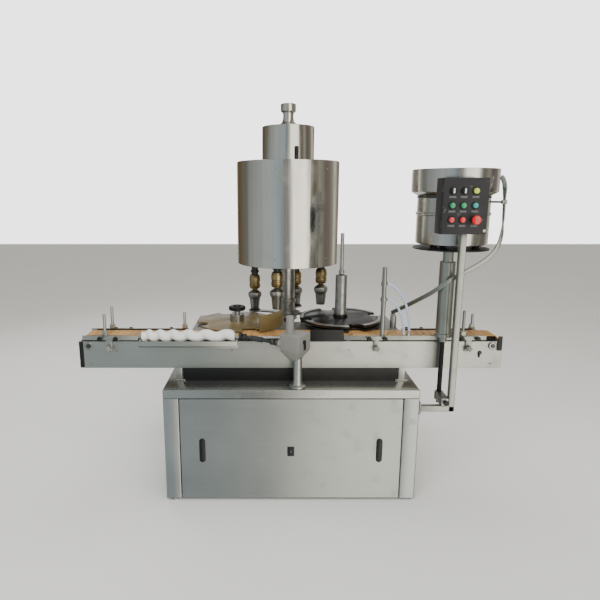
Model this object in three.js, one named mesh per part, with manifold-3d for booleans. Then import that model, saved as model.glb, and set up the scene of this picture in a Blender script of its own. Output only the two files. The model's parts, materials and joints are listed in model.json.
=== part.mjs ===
// Rotary capping machine: a stainless cabinet that carries a slat conveyor, a feed screw, two star
// wheels, a four-spindle turret under a round head, a cap sorter on a stand and a control box on an arm.
// Millimetres, +Z up, +X along the conveyor, +Y away from the operator, floor at Z = 0.
import * as THREE from "three";
import { mergeVertices } from "three/addons/utils/BufferGeometryUtils.js";
import Module from "manifold-3d";

const wasm = await Module();
wasm.setup();

// ---------------------------------------------------------------- driving dimensions
const GAP = 0.3; // clearance between pieces that rest on each other

const CABINET_HALF = 682;
const CABINET_FRONT = -515;
const CABINET_BACK = 635;
const CABINET_TOP = 645;
const LIP_BOTTOM = 597;
const FOOT_HEIGHT = 12;
const POST_WIDTH = 84;
const POST_DEPTH = 60;
const PANEL_THICKNESS = 14;
const MACHINE_PLATE_TOP = 442;

const CONVEYOR_Y = -295;
const CONVEYOR_HALF_LENGTH = 1156;
const CONVEYOR_HALF_WIDTH = 80;
const SIDE_PLATE = 8;
const PLATE_BOTTOM = 720;
const PLATE_TOP = 872;
const CHAIN_TOP = 900;
const CHAIN_RADIUS = 52;
const CHAIN_THICKNESS = 5;
const CHAIN_HALF_WIDTH = 57;
const SPROCKET_X = CONVEYOR_HALF_LENGTH - 55;
const LEG_X = 615;

const SCREW_Y = -415;
const SCREW_Z = 915;
const SCREW_START = -796;
const SCREW_END = -302;
const SCREW_RADIUS = 35;
const SCREW_ROOT = 22;
const SCREW_TURNS = 6;
const FIRST_PITCH = 53;
const PITCH_GROWTH = 1.17;

const GEARBOX = { x: 20, y: -462, half: 59, turn: -36.8, bottom: 852, top: 944 };

const STAR_X = 309;
const STAR_Y = -70;
const STAR_RADIUS = 240;
const PITCH_RADIUS = 225; // of the star pockets, the spindles and the timing gears
const POCKET_RADIUS = 44;
const INFEED_PHASE = 21.2; // direction of a pocket from the star's axis, in degrees
const OUTFEED_PHASE = 14.8;
const DECK_TOP = 893;

const TURRET_Y = 257;
const STATIONS = 4;
const FIRST_STATION = -18;
const LIFT = 60;
const COLUMN_RADIUS = 50;
const CENTRE_POST_RADIUS = 30;
const DRUM = { radius: 320, bottom: 1224, top: 1853, wall: 4 };
const UPPER = { radius: 161.5, top: 2062 };
const MACHINE_TOP = 2197;
const CARRIER_Z = 1400;
const GEAR_Z = 500;
const GEAR_TEETH = 24;

const SORTER = { x: 818, y: -400, bowlX: 877, bowlY: -250, plate: 1366, base: 1394, shell: 1650, rim: 1787 };
const ARM = { x: 850, y: -500, half: 16, low: 524, boxBottom: 1469 };
const BOX = { x: 817, front: -592, back: -490, half: 110, top: 1736 };
const BUTTON_COLUMNS = [-62.5, -9, 47];
const BUTTON_ROWS = [1675, 1607, 1539];
const BUTTON_BORE = 14.5;

// ---------------------------------------------------------------- solids
const degrees = (angle) => THREE.MathUtils.degToRad(angle);
const around = (radius, angle) => [radius * Math.cos(degrees(angle)), radius * Math.sin(degrees(angle))];

// A closed three.js geometry becomes a solid once its shared vertices are merged.
function solid(geometry) {
  const bare = geometry.index ? geometry.toNonIndexed() : geometry.clone();
  bare.deleteAttribute("normal");
  bare.deleteAttribute("uv");
  const merged = mergeVertices(bare, 1e-3);
  const points = merged.attributes.position.array;
  const corner = (i) => new THREE.Vector3().fromArray(points, 3 * i);
  const faces = [];
  let volume = 0;
  for (let i = 0; i < merged.index.count; i += 3) {
    const [a, b, c] = merged.index.array.slice(i, i + 3);
    if (a === b || b === c || c === a) continue;
    faces.push([a, b, c]);
    volume += corner(a).dot(corner(b).cross(corner(c)));
  }
  const outward = volume > 0 ? faces : faces.map(([a, b, c]) => [a, c, b]);
  return new wasm.Manifold(
    new wasm.Mesh({
      numProp: 3,
      vertProperties: new Float32Array(points),
      triVerts: new Uint32Array(outward.flat()),
    }),
  );
}

function box(x0, x1, y0, y1, z0, z1) {
  const geometry = new THREE.BoxGeometry(x1 - x0, y1 - y0, z1 - z0);
  geometry.translate((x0 + x1) / 2, (y0 + y1) / 2, (z0 + z1) / 2);
  return solid(geometry);
}

// A straight round bar between two points; the far end may have a radius of its own.
function rod(from, to, radius, sides = 8, farRadius = radius) {
  const start = new THREE.Vector3(...from);
  const run = new THREE.Vector3(...to).sub(start);
  const geometry = new THREE.CylinderGeometry(farRadius, radius, run.length(), sides);
  geometry.translate(0, run.length() / 2, 0);
  geometry.applyQuaternion(new THREE.Quaternion().setFromUnitVectors(new THREE.Vector3(0, 1, 0), run.normalize()));
  geometry.translate(...from);
  return solid(geometry);
}

const disc = (radius, z0, z1, sides = 16, x = 0, y = 0) => rod([x, y, z0], [x, y, z1], radius, sides);

// A profile of [radius, height] turned about Z.
function turned(profile, sides = 24) {
  const geometry = new THREE.LatheGeometry(
    profile.map(([radius, height]) => new THREE.Vector2(radius, height)),
    sides,
  );
  return solid(geometry.rotateX(Math.PI / 2));
}

function sheet(shape, z0, z1, curveSegments = 4) {
  const geometry = new THREE.ExtrudeGeometry(shape, { depth: z1 - z0, bevelEnabled: false, curveSegments });
  return solid(geometry.translate(0, 0, z0));
}

// A section swept along a smooth curve through the given points.
function swept(points, section, steps) {
  const curve = new THREE.CatmullRomCurve3(points.map((point) => new THREE.Vector3(...point)), false, "centripetal");
  return solid(new THREE.ExtrudeGeometry(section, { steps, bevelEnabled: false, extrudePath: curve }));
}

const join = (...pieces) => pieces.reduce((whole, piece) => whole.add(piece));
const cut = (whole, ...pieces) => pieces.reduce((rest, piece) => rest.subtract(piece), whole);

// ---------------------------------------------------------------- finishes
const FINISHES = {
  satinSteel: { color: 0x8e938d, roughness: 0.45, metalness: 0.9 },
  brightSteel: { color: 0xb9b6ab, roughness: 0.25, metalness: 1.0 },
  darkSteel: { color: 0x3d3f40, roughness: 0.4, metalness: 0.8 },
  brass: { color: 0xb08a3c, roughness: 0.3, metalness: 1.0 },
  phenolic: { color: 0x8a6a2e, roughness: 0.5, metalness: 0.0 },
  blackPlastic: { color: 0x17181a, roughness: 0.45, metalness: 0.0 },
  whitePlastic: { color: 0xe9eae6, roughness: 0.4, metalness: 0.0 },
  tanChain: { color: 0xa9713a, roughness: 0.5, metalness: 0.0 },
  castGrey: { color: 0x7d7a72, roughness: 0.6, metalness: 0.3 },
  charcoal: { color: 0x2b2c30, roughness: 0.55, metalness: 0.1 },
  motorBlue: { color: 0x3f5f78, roughness: 0.5, metalness: 0.2 },
  paleTube: { color: 0x9fb4d0, roughness: 0.35, metalness: 0.0 },
  green: { color: 0x1f9a4e, roughness: 0.35, metalness: 0.0 },
  teal: { color: 0x2a8f98, roughness: 0.35, metalness: 0.0 },
  red: { color: 0xc92a2a, roughness: 0.35, metalness: 0.0 },
  lampYellow: { color: 0xb9c832, roughness: 0.3, metalness: 0.0 },
};

function part(group, name, body, finish, place = [0, 0, 0], turn = [0, 0, 0]) {
  const { vertProperties, triVerts } = body.getMesh();
  const geometry = new THREE.BufferGeometry();
  geometry.setAttribute("position", new THREE.BufferAttribute(vertProperties, 3));
  geometry.setIndex(new THREE.BufferAttribute(triVerts, 1));
  geometry.computeVertexNormals();
  const mesh = new THREE.Mesh(geometry, new THREE.MeshStandardMaterial(FINISHES[finish]));
  mesh.name = name;
  mesh.position.set(...place);
  mesh.rotation.set(...turn);
  group.add(mesh);
}

const machine = new THREE.Group();

function section(x, y, z = 0) {
  const group = new THREE.Group();
  group.position.set(x, y, z);
  machine.add(group);
  return group;
}

// ---------------------------------------------------------------- cabinet
function addCabinet() {
  const cabinet = section(0, 0);
  const inner = CABINET_HALF - POST_WIDTH;
  const rail = 30;
  const postTop = LIP_BOTTOM - GAP;
  const corners = [];
  for (const side of [-1, 1]) {
    for (const [y0, y1] of [[CABINET_FRONT, CABINET_FRONT + POST_DEPTH], [CABINET_BACK - POST_DEPTH, CABINET_BACK]]) {
      const x0 = Math.min(side * CABINET_HALF, side * inner);
      corners.push(box(x0, x0 + POST_WIDTH, y0, y1, FOOT_HEIGHT, postTop));
      corners.push(disc(25, 0, FOOT_HEIGHT + 1, 8, side * (CABINET_HALF - 40), (y0 + y1) / 2));
    }
  }
  const floorPlate = box(1 - CABINET_HALF, CABINET_HALF - 1, CABINET_FRONT + 20, CABINET_BACK - 20, FOOT_HEIGHT, 30);
  const machinePlate = box(-inner - 10, inner + 10, CABINET_FRONT + 30, CABINET_BACK - 30, MACHINE_PLATE_TOP - 12,
    MACHINE_PLATE_TOP);
  const sideRails = [-1, 1].map((side) => {
    const x0 = side * (CABINET_HALF - 45) - rail / 2;
    return box(x0, x0 + rail, CABINET_FRONT + 30, CABINET_BACK - 30, MACHINE_PLATE_TOP - rail, MACHINE_PLATE_TOP);
  });
  const centrePost = [
    disc(CENTRE_POST_RADIUS, MACHINE_PLATE_TOP - 2, 2050, 12, 0, TURRET_Y),
    disc(60, MACHINE_PLATE_TOP - 2, 462, 12, 0, TURRET_Y),
  ];
  part(cabinet, "base_frame", join(floorPlate, machinePlate, ...sideRails, ...corners, ...centrePost), "satinSteel");

  const bearing = (x, y, radius) => disc(radius, CABINET_TOP - 1, CABINET_TOP + 22, 16, x, y);
  const bore = (x, y, radius) => disc(radius, LIP_BOTTOM, CABINET_TOP + 40, 16, x, y);
  const top = cut(
    box(-CABINET_HALF, CABINET_HALF, CABINET_FRONT, CABINET_BACK, LIP_BOTTOM, CABINET_TOP),
    box(40 - CABINET_HALF, CABINET_HALF - 40, CABINET_FRONT + 40, CABINET_BACK - 40, LIP_BOTTOM - 1, CABINET_TOP - 6),
  );
  const bearings = [bearing(STAR_X, STAR_Y, 45), bearing(-STAR_X, STAR_Y, 45), bearing(0, TURRET_Y, 85)];
  const bores = [bore(STAR_X, STAR_Y, 17), bore(-STAR_X, STAR_Y, 17), bore(0, TURRET_Y, COLUMN_RADIUS + 2)];
  part(cabinet, "cabinet_top", cut(join(top, ...bearings), ...bores), "brightSteel");

  const panelHalf = inner - 2;
  const panelTop = LIP_BOTTOM - 2;
  const recess = (x) => join(
    box(x - 13, x + 13, CABINET_FRONT - 1, CABINET_FRONT + 9, 250, 350),
    rod([x, CABINET_FRONT - 1, 250], [x, CABINET_FRONT + 9, 250], 13, 8),
    rod([x, CABINET_FRONT - 1, 350], [x, CABINET_FRONT + 9, 350], 13, 8),
  );
  const lockBore = rod([0, CABINET_FRONT - 1, 295], [0, CABINET_FRONT + 20, 295], 9, 8);
  const frontPanel = cut(
    box(-panelHalf, panelHalf, CABINET_FRONT, CABINET_FRONT + PANEL_THICKNESS, 16, panelTop),
    recess(-478),
    recess(478),
    lockBore,
  );
  part(cabinet, "front_panel", frontPanel, "satinSteel");
  const lock = join(
    box(-15, 15, CABINET_FRONT - 5, CABINET_FRONT - GAP, 272, 318),
    rod([0, CABINET_FRONT - 1, 295], [0, CABINET_FRONT + PANEL_THICKNESS - 2, 295], 8, 8),
  );
  part(cabinet, "panel_lock", lock, "blackPlastic");
  part(cabinet, "back_panel",
    box(-panelHalf, panelHalf, CABINET_BACK - PANEL_THICKNESS, CABINET_BACK, 32, panelTop), "satinSteel");
  for (const [name, side] of [["left_side_panel", -1], ["right_side_panel", 1]]) {
    const x0 = side < 0 ? -CABINET_HALF : CABINET_HALF - PANEL_THICKNESS;
    part(cabinet, name, box(x0, x0 + PANEL_THICKNESS, CABINET_FRONT + POST_DEPTH + 2, CABINET_BACK - POST_DEPTH - 2,
      32, panelTop), "satinSteel");
  }
  const motor = join(
    box(-360, 10, 150, 330, 30 + GAP, 60),
    rod([-350, 240, 170], [-90, 240, 170], 82, 12),
    box(-310, -130, 200, 280, 55, 100),
    box(-95, 0, 165, 315, 55, 300),
    disc(24, 295, 345, 10, -45, 240),
  );
  part(cabinet, "gear_motor", motor, "motorBlue");
}

// ---------------------------------------------------------------- conveyor
function loopShape(radius) {
  const shape = new THREE.Shape();
  shape.moveTo(-SPROCKET_X, -radius);
  shape.lineTo(SPROCKET_X, -radius);
  shape.absarc(SPROCKET_X, 0, radius, -Math.PI / 2, Math.PI / 2, false);
  shape.lineTo(-SPROCKET_X, radius);
  shape.absarc(-SPROCKET_X, 0, radius, Math.PI / 2, 1.5 * Math.PI, false);
  return shape;
}

function addConveyor() {
  const conveyor = section(0, CONVEYOR_Y);
  const axle = CHAIN_TOP - CHAIN_RADIUS;
  const outer = CONVEYOR_HALF_WIDTH;
  for (const [name, side] of [["conveyor_front_plate", -1], ["conveyor_back_plate", 1]]) {
    const across = (near, far) => [Math.min(side * near, side * far), Math.max(side * near, side * far)];
    const plate = box(-CONVEYOR_HALF_LENGTH, CONVEYOR_HALF_LENGTH, ...across(outer - SIDE_PLATE, outer),
      PLATE_BOTTOM, PLATE_TOP);
    const pieces = [plate];
    if (side < 0) {
      const apronEnd = LEG_X - 10;
      pieces.push(box(-apronEnd, apronEnd, ...across(outer - SIDE_PLATE - 6, outer - SIDE_PLATE + 1),
        CABINET_TOP + GAP, PLATE_BOTTOM + 20));
    }
    for (const x of [-LEG_X, LEG_X]) {
      pieces.push(box(x - 18, x + 18, ...across(outer - 34, outer), CABINET_TOP + GAP, PLATE_BOTTOM + 4));
      pieces.push(box(x - 34, x + 34, ...across(outer - 50, outer), CABINET_TOP + GAP, CABINET_TOP + 8));
    }
    const bores = [];
    for (const x of [-SPROCKET_X, SPROCKET_X]) {
      pieces.push(rod([x, side * (outer - 1), axle], [x, side * (outer + 9), axle], 22, 10));
      bores.push(rod([x, side * (outer - 20), axle], [x, side * (outer + 20), axle], 13.5, 10));
    }
    part(conveyor, name, cut(join(...pieces), ...bores), "satinSteel");
  }

  const bed = [box(55 - SPROCKET_X, SPROCKET_X - 55, -52, 52, CHAIN_TOP - 20, CHAIN_TOP - CHAIN_THICKNESS - GAP)];
  for (const x of [-950, -320, 320, 950]) {
    bed.push(box(x - 12, x + 12, -50, 50, 806, CHAIN_TOP - 18));
    bed.push(box(x - 12, x + 12, SIDE_PLATE + GAP - outer, outer - SIDE_PLATE - GAP, 806, 836));
  }
  part(conveyor, "chain_bed", join(...bed), "whitePlastic");

  const loop = loopShape(CHAIN_RADIUS);
  loop.holes.push(loopShape(CHAIN_RADIUS - CHAIN_THICKNESS));
  part(conveyor, "conveyor_chain", sheet(loop, -CHAIN_HALF_WIDTH, CHAIN_HALF_WIDTH, 6), "tanChain",
    [0, 0, axle], [Math.PI / 2, 0, 0]);
  for (const [name, x] of [["idler_sprocket", -SPROCKET_X], ["drive_sprocket", SPROCKET_X]]) {
    const sprocket = join(
      rod([0, -30, 0], [0, 30, 0], CHAIN_RADIUS - CHAIN_THICKNESS - 1, 16),
      rod([0, -outer - 14, 0], [0, outer + 14, 0], 12, 10),
    );
    part(conveyor, name, sprocket, "darkSteel", [x, 0, axle]);
  }
}

// A guide strip on one side of the conveyor, with its clamp brackets, knobs and upright rods.
function guide(side, x0, x1, brackets, rods) {
  const outer = CONVEYOR_HALF_WIDTH;
  const across = (near, far) => [Math.min(side * near, side * far), Math.max(side * near, side * far)];
  const pieces = [box(x0, x1, ...across(outer - 7, outer + 1), 878, 905)];
  for (const x of brackets) {
    pieces.push(box(x - 16, x + 16, ...across(outer + GAP, outer + 12), 818, 904));
    pieces.push(box(x - 52, x + 52, ...across(outer - 1, outer + 12), 880, 904));
    for (const knobX of [x - 43, x + 43]) {
      pieces.push(rod([knobX, side * (outer + 10), 892], [knobX, side * (outer + 34), 892], 13, 8));
    }
    pieces.push(rod([x, side * (outer + 10), 838], [x, side * (outer + 36), 838], 17, 8));
  }
  for (const [x, top] of rods) {
    pieces.push(rod([x, side * (outer - 3), 885], [x, side * (outer - 3), top], 8, 8));
  }
  return pieces;
}

function addGuides() {
  const conveyor = section(0, CONVEYOR_Y);
  part(conveyor, "infeed_front_guide", join(...guide(-1, -1134, -830, [-990], [[-1009, 1025]])), "brightSteel");
  part(conveyor, "infeed_back_guide",
    join(...guide(1, -1134, -575, [-960, -640], [[-1013, 1030], [-600, 1000]])), "brightSteel");
  const postY = 3 - CONVEYOR_HALF_WIDTH;
  const tallPost = [
    disc(12.5, 885, 1280, 10, 497, postY),
    disc(17, 1096, 1116, 8, 497, postY),
    disc(17, 1181, 1201, 8, 497, postY),
  ];
  const hoseFitting = disc(11, 895, 928, 8, 640, postY);
  const outfeed = guide(-1, 288, 1066, [466, 968], [[936, 1045]]);
  part(conveyor, "outfeed_front_guide", join(...outfeed, ...tallPost, hoseFitting), "brightSteel");
  part(conveyor, "outfeed_back_guide", join(...guide(1, 640, 1066, [720, 1000], [[1043, 990]])), "brightSteel");

  const hoses = [
    ["air_hose_upper", [[517, postY, 1191], [560, postY - 3, 1168], [606, postY - 7, 1105], [634, postY - 7, 1020],
      [642, postY - 3, 960], [642, postY, 930]]],
    ["air_hose_lower", [[517, postY, 1106], [548, postY + 6, 1096], [580, postY + 9, 1058], [604, postY + 9, 1005],
      [615, postY + 9, 955], [616, postY + 7, 906 + GAP]]],
  ];
  const outline = new THREE.Shape(new THREE.Path().absarc(0, 0, 7, 0, 2 * Math.PI).getPoints(3).slice(0, -1));
  for (const [name, points] of hoses) {
    part(conveyor, name, swept(points, outline, 16), "paleTube");
  }
}

// ---------------------------------------------------------------- feed screw and its drive
function addFeedScrew() {
  const screw = section(0, SCREW_Y, SCREW_Z);
  const length = SCREW_END - SCREW_START;
  const profile = [[0, -16], [8, -16], [8, 0], [SCREW_ROOT, 0]];
  let start = 2;
  for (let turn = 0; turn < SCREW_TURNS; turn += 1) {
    const pitch = FIRST_PITCH * PITCH_GROWTH ** turn;
    profile.push([SCREW_ROOT, start], [SCREW_RADIUS, start + 0.3 * pitch], [SCREW_RADIUS, start + 0.62 * pitch]);
    start += pitch;
  }
  profile.push([SCREW_ROOT, length - 3], [SCREW_ROOT, length], [8, length], [8, length + 18], [0, length + 18]);
  part(screw, "feed_screw", turned(profile, 12), "whitePlastic", [SCREW_START, 0, 0], [0, Math.PI / 2, 0]);

  const block = (x0, x1) => cut(
    box(x0, x1, -26, 34, -49, 16),
    rod([x0 - 1, 0, 0], [x1 + 1, 0, 0], 9, 8),
  );
  const bed = join(
    box(SCREW_START - 14, SCREW_END + 16, -44, 34, -52, -46),
    box(SCREW_START - 14, SCREW_END + 16, -44, -39, -52, -20),
    box(SCREW_START - 14, SCREW_END + 16, 34, 39, -80, -46),
    block(SCREW_START - 14, SCREW_START - 3),
    block(SCREW_END + 3, SCREW_END + 14),
  );
  part(screw, "screw_bed", bed, "brightSteel");

  const from = new THREE.Vector3(-277, SCREW_Y, SCREW_Z);
  const to = new THREE.Vector3(-73, -455, 888);
  const run = to.clone().sub(from);
  const reach = run.length();
  const shaft = join(
    rod([0, 0, 0], [0, 0, 34], 17, 8),
    rod([0, 0, 30], [0, 0, reach - 30], 11, 8),
    rod([0, 0, reach - 34], [0, 0, reach], 17, 8),
  );
  const turn = new THREE.Euler().setFromQuaternion(
    new THREE.Quaternion().setFromUnitVectors(new THREE.Vector3(0, 0, 1), run.clone().normalize()),
  );
  const drive = section(from.x, from.y, from.z);
  part(drive, "cardan_shaft", shaft, "darkSteel", [0, 0, 0], [turn.x, turn.y, turn.z]);

  const { x, y, half, bottom, top } = GEARBOX;
  const gearbox = section(x, y);
  const outlet = to.clone().add(run.clone().normalize().multiplyScalar(2));
  const inside = outlet.clone().add(run.clone().normalize().multiplyScalar(45));
  const local = (point) => [point.x - x, point.y - y, point.z];
  const housing = box(-half, half, -half, half, bottom, top).rotate([0, 0, GEARBOX.turn]);
  const funnel = solid(new THREE.CylinderGeometry(half * Math.SQRT2, 36, 54, 4, 1)
    .rotateX(Math.PI / 2).rotateZ(degrees(45 + GEARBOX.turn)).translate(0, 0, bottom - 26));
  const body = join(
    housing,
    funnel,
    disc(25, CABINET_TOP + GAP, bottom - 20, 12, 15, 0),
    disc(45, CABINET_TOP + GAP, CABINET_TOP + 16, 16, 15, 0),
    disc(21, top - 1, 1035, 12, -28, 0),
    rod(local(outlet), local(inside), 20, 8),
  );
  part(gearbox, "screw_gearbox", body, "castGrey");
}

// ---------------------------------------------------------------- star wheels
function starShape(radius, phase, boreRadius) {
  const shape = new THREE.Shape();
  // Half the angle between the two points where a pocket meets the rim.
  const mouth = Math.acos((radius ** 2 + PITCH_RADIUS ** 2 - POCKET_RADIUS ** 2) / (2 * radius * PITCH_RADIUS));
  const pocket = Math.atan2(radius * Math.sin(mouth), radius * Math.cos(mouth) - PITCH_RADIUS);
  for (let index = 0; index < STATIONS; index += 1) {
    const facing = degrees(phase) + (index * 2 * Math.PI) / STATIONS;
    const next = facing + (2 * Math.PI) / STATIONS;
    const [x, y] = [PITCH_RADIUS * Math.cos(facing), PITCH_RADIUS * Math.sin(facing)];
    shape.absarc(x, y, POCKET_RADIUS, facing - pocket, facing + pocket, true);
    shape.absarc(0, 0, radius, facing + mouth, next - mouth, false);
  }
  shape.closePath();
  if (boreRadius > 0) shape.holes.push(new THREE.Path().absarc(0, 0, boreRadius, 0, 2 * Math.PI));
  return shape;
}

function gear(toothAngle, boreRadius) {
  const [root, tip] = [PITCH_RADIUS - 14, PITCH_RADIUS + 9];
  const shape = new THREE.Shape();
  for (let tooth = 0; tooth < GEAR_TEETH; tooth += 1) {
    const middle = toothAngle + (360 / GEAR_TEETH) * tooth;
    const corners = [[root, -3.6], [tip, -1.6], [tip, 1.6], [root, 3.6]];
    for (const [radius, offset] of corners) {
      const [x, y] = around(radius, middle + offset);
      if (tooth === 0 && offset === -3.6) shape.moveTo(x, y);
      else shape.lineTo(x, y);
    }
  }
  shape.closePath();
  if (boreRadius > 0) shape.holes.push(new THREE.Path().absarc(0, 0, boreRadius, 0, 2 * Math.PI));
  return sheet(shape, GEAR_Z, GEAR_Z + 16, 6);
}

function addStars() {
  const infeed = section(-STAR_X, STAR_Y);
  const outfeed = section(STAR_X, STAR_Y);
  const lineToTurret = THREE.MathUtils.radToDeg(Math.atan2(TURRET_Y - STAR_Y, STAR_X));
  const toothPitch = 360 / GEAR_TEETH;
  const shaftTop = 905 - GAP;

  // The turret gear has a tooth on the line to the infeed axis, so the infeed gear has a gap there.
  const infeedTooth = lineToTurret + toothPitch / 2;
  part(infeed, "infeed_gear", join(gear(infeedTooth, 0), disc(16, 470, shaftTop, 10)), "darkSteel");
  const offset = (2 * (90 - lineToTurret)) % toothPitch;
  const outfeedTooth = 180 - lineToTurret + offset + toothPitch / 2;
  part(outfeed, "outfeed_gear", join(gear(outfeedTooth, 0), disc(16, 470, shaftTop, 10)), "darkSteel");

  const star = (phase) => [
    sheet(starShape(STAR_RADIUS, phase, 0), 905, 914),
    disc(42.5, 913, 955, 16),
  ];
  const infeedStar = join(...star(INFEED_PHASE), disc(16.5, 954, 978, 10));
  part(infeed, "infeed_star", cut(infeedStar, disc(9, 960, 979, 8)), "phenolic");
  const knob = join(disc(50, 979, 1003, 20), disc(22, 1000, 1010, 10), disc(7, 962, 981, 8));
  part(infeed, "infeed_knob", knob, "blackPlastic");

  const top = [
    sheet(starShape(STAR_RADIUS + 4, OUTFEED_PHASE, 0), 924, 937),
    cut(sheet(starShape(STAR_RADIUS + 4, OUTFEED_PHASE, 0), 936, 942), disc(STAR_RADIUS - 18, 930, 950, 32)),
  ];
  part(outfeed, "outfeed_star", join(...star(OUTFEED_PHASE), ...top), "blackPlastic");
  const spool = turned([[0, 955 + GAP], [37.5, 955 + GAP], [37.5, 975], [34, 985], [34, 1190], [11, 1196],
    [11, 1436], [0, 1436]], 12);
  part(outfeed, "outfeed_post", spool, "satinSteel");

  const deck = section(0, 0);
  const lobes = cut(
    box(-560, 628, CONVEYOR_Y + CONVEYOR_HALF_WIDTH + 4, 150, DECK_TOP - 8, DECK_TOP),
    disc(279, 860, 900, 32, 0, TURRET_Y),
    disc(20, 860, 900, 10, -STAR_X, STAR_Y),
    disc(20, 860, 900, 10, STAR_X, STAR_Y),
  );
  const legs = [[-530, -170], [-530, 120], [530, -170], [530, 120]].map(([x, y]) =>
    disc(14, CABINET_TOP + GAP, DECK_TOP - 4, 8, x, y));
  // The bottles' outer guide: an arc about the infeed star's axis that starts over the chain.
  const guideRadius = PITCH_RADIUS + POCKET_RADIUS + 2;
  const arc = new THREE.Shape();
  arc.absarc(0, 0, guideRadius + 10, degrees(-60), degrees(-14), false);
  arc.absarc(0, 0, guideRadius, degrees(-14), degrees(-60), true);
  arc.closePath();
  const arcPosts = [-26, -17].map((angle) => {
    const [x, y] = around(guideRadius + 5, angle);
    return disc(4.5, DECK_TOP - 1, 910, 8, x - STAR_X, y + STAR_Y);
  });
  const arcGuide = [sheet(arc, CHAIN_TOP + 3, 1000, 10).translate([-STAR_X, STAR_Y, 0]), ...arcPosts];
  part(deck, "deck_plate", join(lobes, ...legs, disc(18, DECK_TOP - 1, 966, 10, 604, -165), ...arcGuide),
    "satinSteel");
}

// ---------------------------------------------------------------- turret and head
function addTurret() {
  const turret = section(0, TURRET_Y);
  const lineToInfeed = 180 + THREE.MathUtils.radToDeg(Math.atan2(TURRET_Y - STAR_Y, STAR_X));
  const sleeve = cut(
    join(gear(lineToInfeed, 0), disc(80, 490, 530, 16), disc(COLUMN_RADIUS, 470, 1600, 20)),
    disc(CENTRE_POST_RADIUS + 3, 400, 1700, 12),
  );
  part(turret, "turret_column", sleeve, "satinSteel");
  const arms = [disc(86, 880, 895, 20), disc(66, 850, 882, 20)];
  for (let station = 0; station < STATIONS; station += 1) {
    const angle = FIRST_STATION + (station * 360) / STATIONS;
    const [x, y] = around(PITCH_RADIUS, angle);
    arms.push(box(60, PITCH_RADIUS, -22, 22, 882, 893).rotate([0, 0, angle]));
    arms.push(disc(42, 882, 895, 12, x, y));
  }
  part(turret, "bottle_spider", cut(join(...arms), disc(COLUMN_RADIUS + 1.2, 800, 950, 20)), "satinSteel");

  const { radius, bottom, top, wall } = DRUM;
  const bore = CENTRE_POST_RADIUS + 4;
  const drum = turned([[radius - wall, bottom], [radius, bottom], [radius, top], [bore, top], [bore, top - wall],
    [radius - wall, top - wall], [radius - wall, bottom]], 36);
  part(turret, "drum_cover", drum, "brightSteel");
  const upper = turned([[UPPER.radius - wall, top + GAP], [UPPER.radius, top + GAP], [UPPER.radius, UPPER.top],
    [bore, UPPER.top], [bore, UPPER.top - wall], [UPPER.radius - wall, UPPER.top - wall],
    [UPPER.radius - wall, top + GAP]], 24);
  part(turret, "upper_cover", upper, "brightSteel");
  const cap = turned([[0, UPPER.top + GAP], [61, UPPER.top + GAP], [61, 2074], [34, 2098], [34, 2146],
    [47, 2152], [47, MACHINE_TOP - 4], [43, MACHINE_TOP], [0, MACHINE_TOP]], 16);
  part(turret, "top_cap", cap, "brightSteel");

  const carrier = [disc(285, CARRIER_Z, CARRIER_Z + 22, 24), disc(80, CARRIER_Z - 30, CARRIER_Z + 70, 16)];
  const bores = [disc(COLUMN_RADIUS + 1.2, CARRIER_Z - 90, CARRIER_Z + 200, 20)];
  for (let station = 0; station < STATIONS; station += 1) {
    const [x, y] = around(PITCH_RADIUS, FIRST_STATION + (station * 360) / STATIONS);
    carrier.push(disc(40, CARRIER_Z - 60, CARRIER_Z + 40, 12, x, y));
    bores.push(disc(24, CARRIER_Z - 90, CARRIER_Z + 60, 10, x, y));
  }
  part(turret, "spindle_carrier", cut(join(...carrier), ...bores), "darkSteel");

  for (let station = 0; station < STATIONS; station += 1) {
    const [x, y] = around(PITCH_RADIUS, FIRST_STATION + (station * 360) / STATIONS);
    const lifted = station === 0 || station === 3 ? LIFT : 0;
    const spindle = turned([[0, 1032], [17, 1032], [17, 1036], [33, 1042], [36, 1052], [36, 1116], [31, 1128],
      [22, 1132], [22, 1560], [0, 1560]], 10);
    part(turret, `spindle_${station + 1}`, spindle, "brass", [x, y, lifted]);
    const chuck = turned([[0, 925], [22, 925], [22, 900], [28.5, 900], [35, 970], [42.5, 985],
      [42.5, 1012], [14, 1031.5], [0, 1031.5]], 12);
    part(turret, `chuck_${station + 1}`, chuck, "brightSteel", [x, y, lifted]);
  }
}

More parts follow.
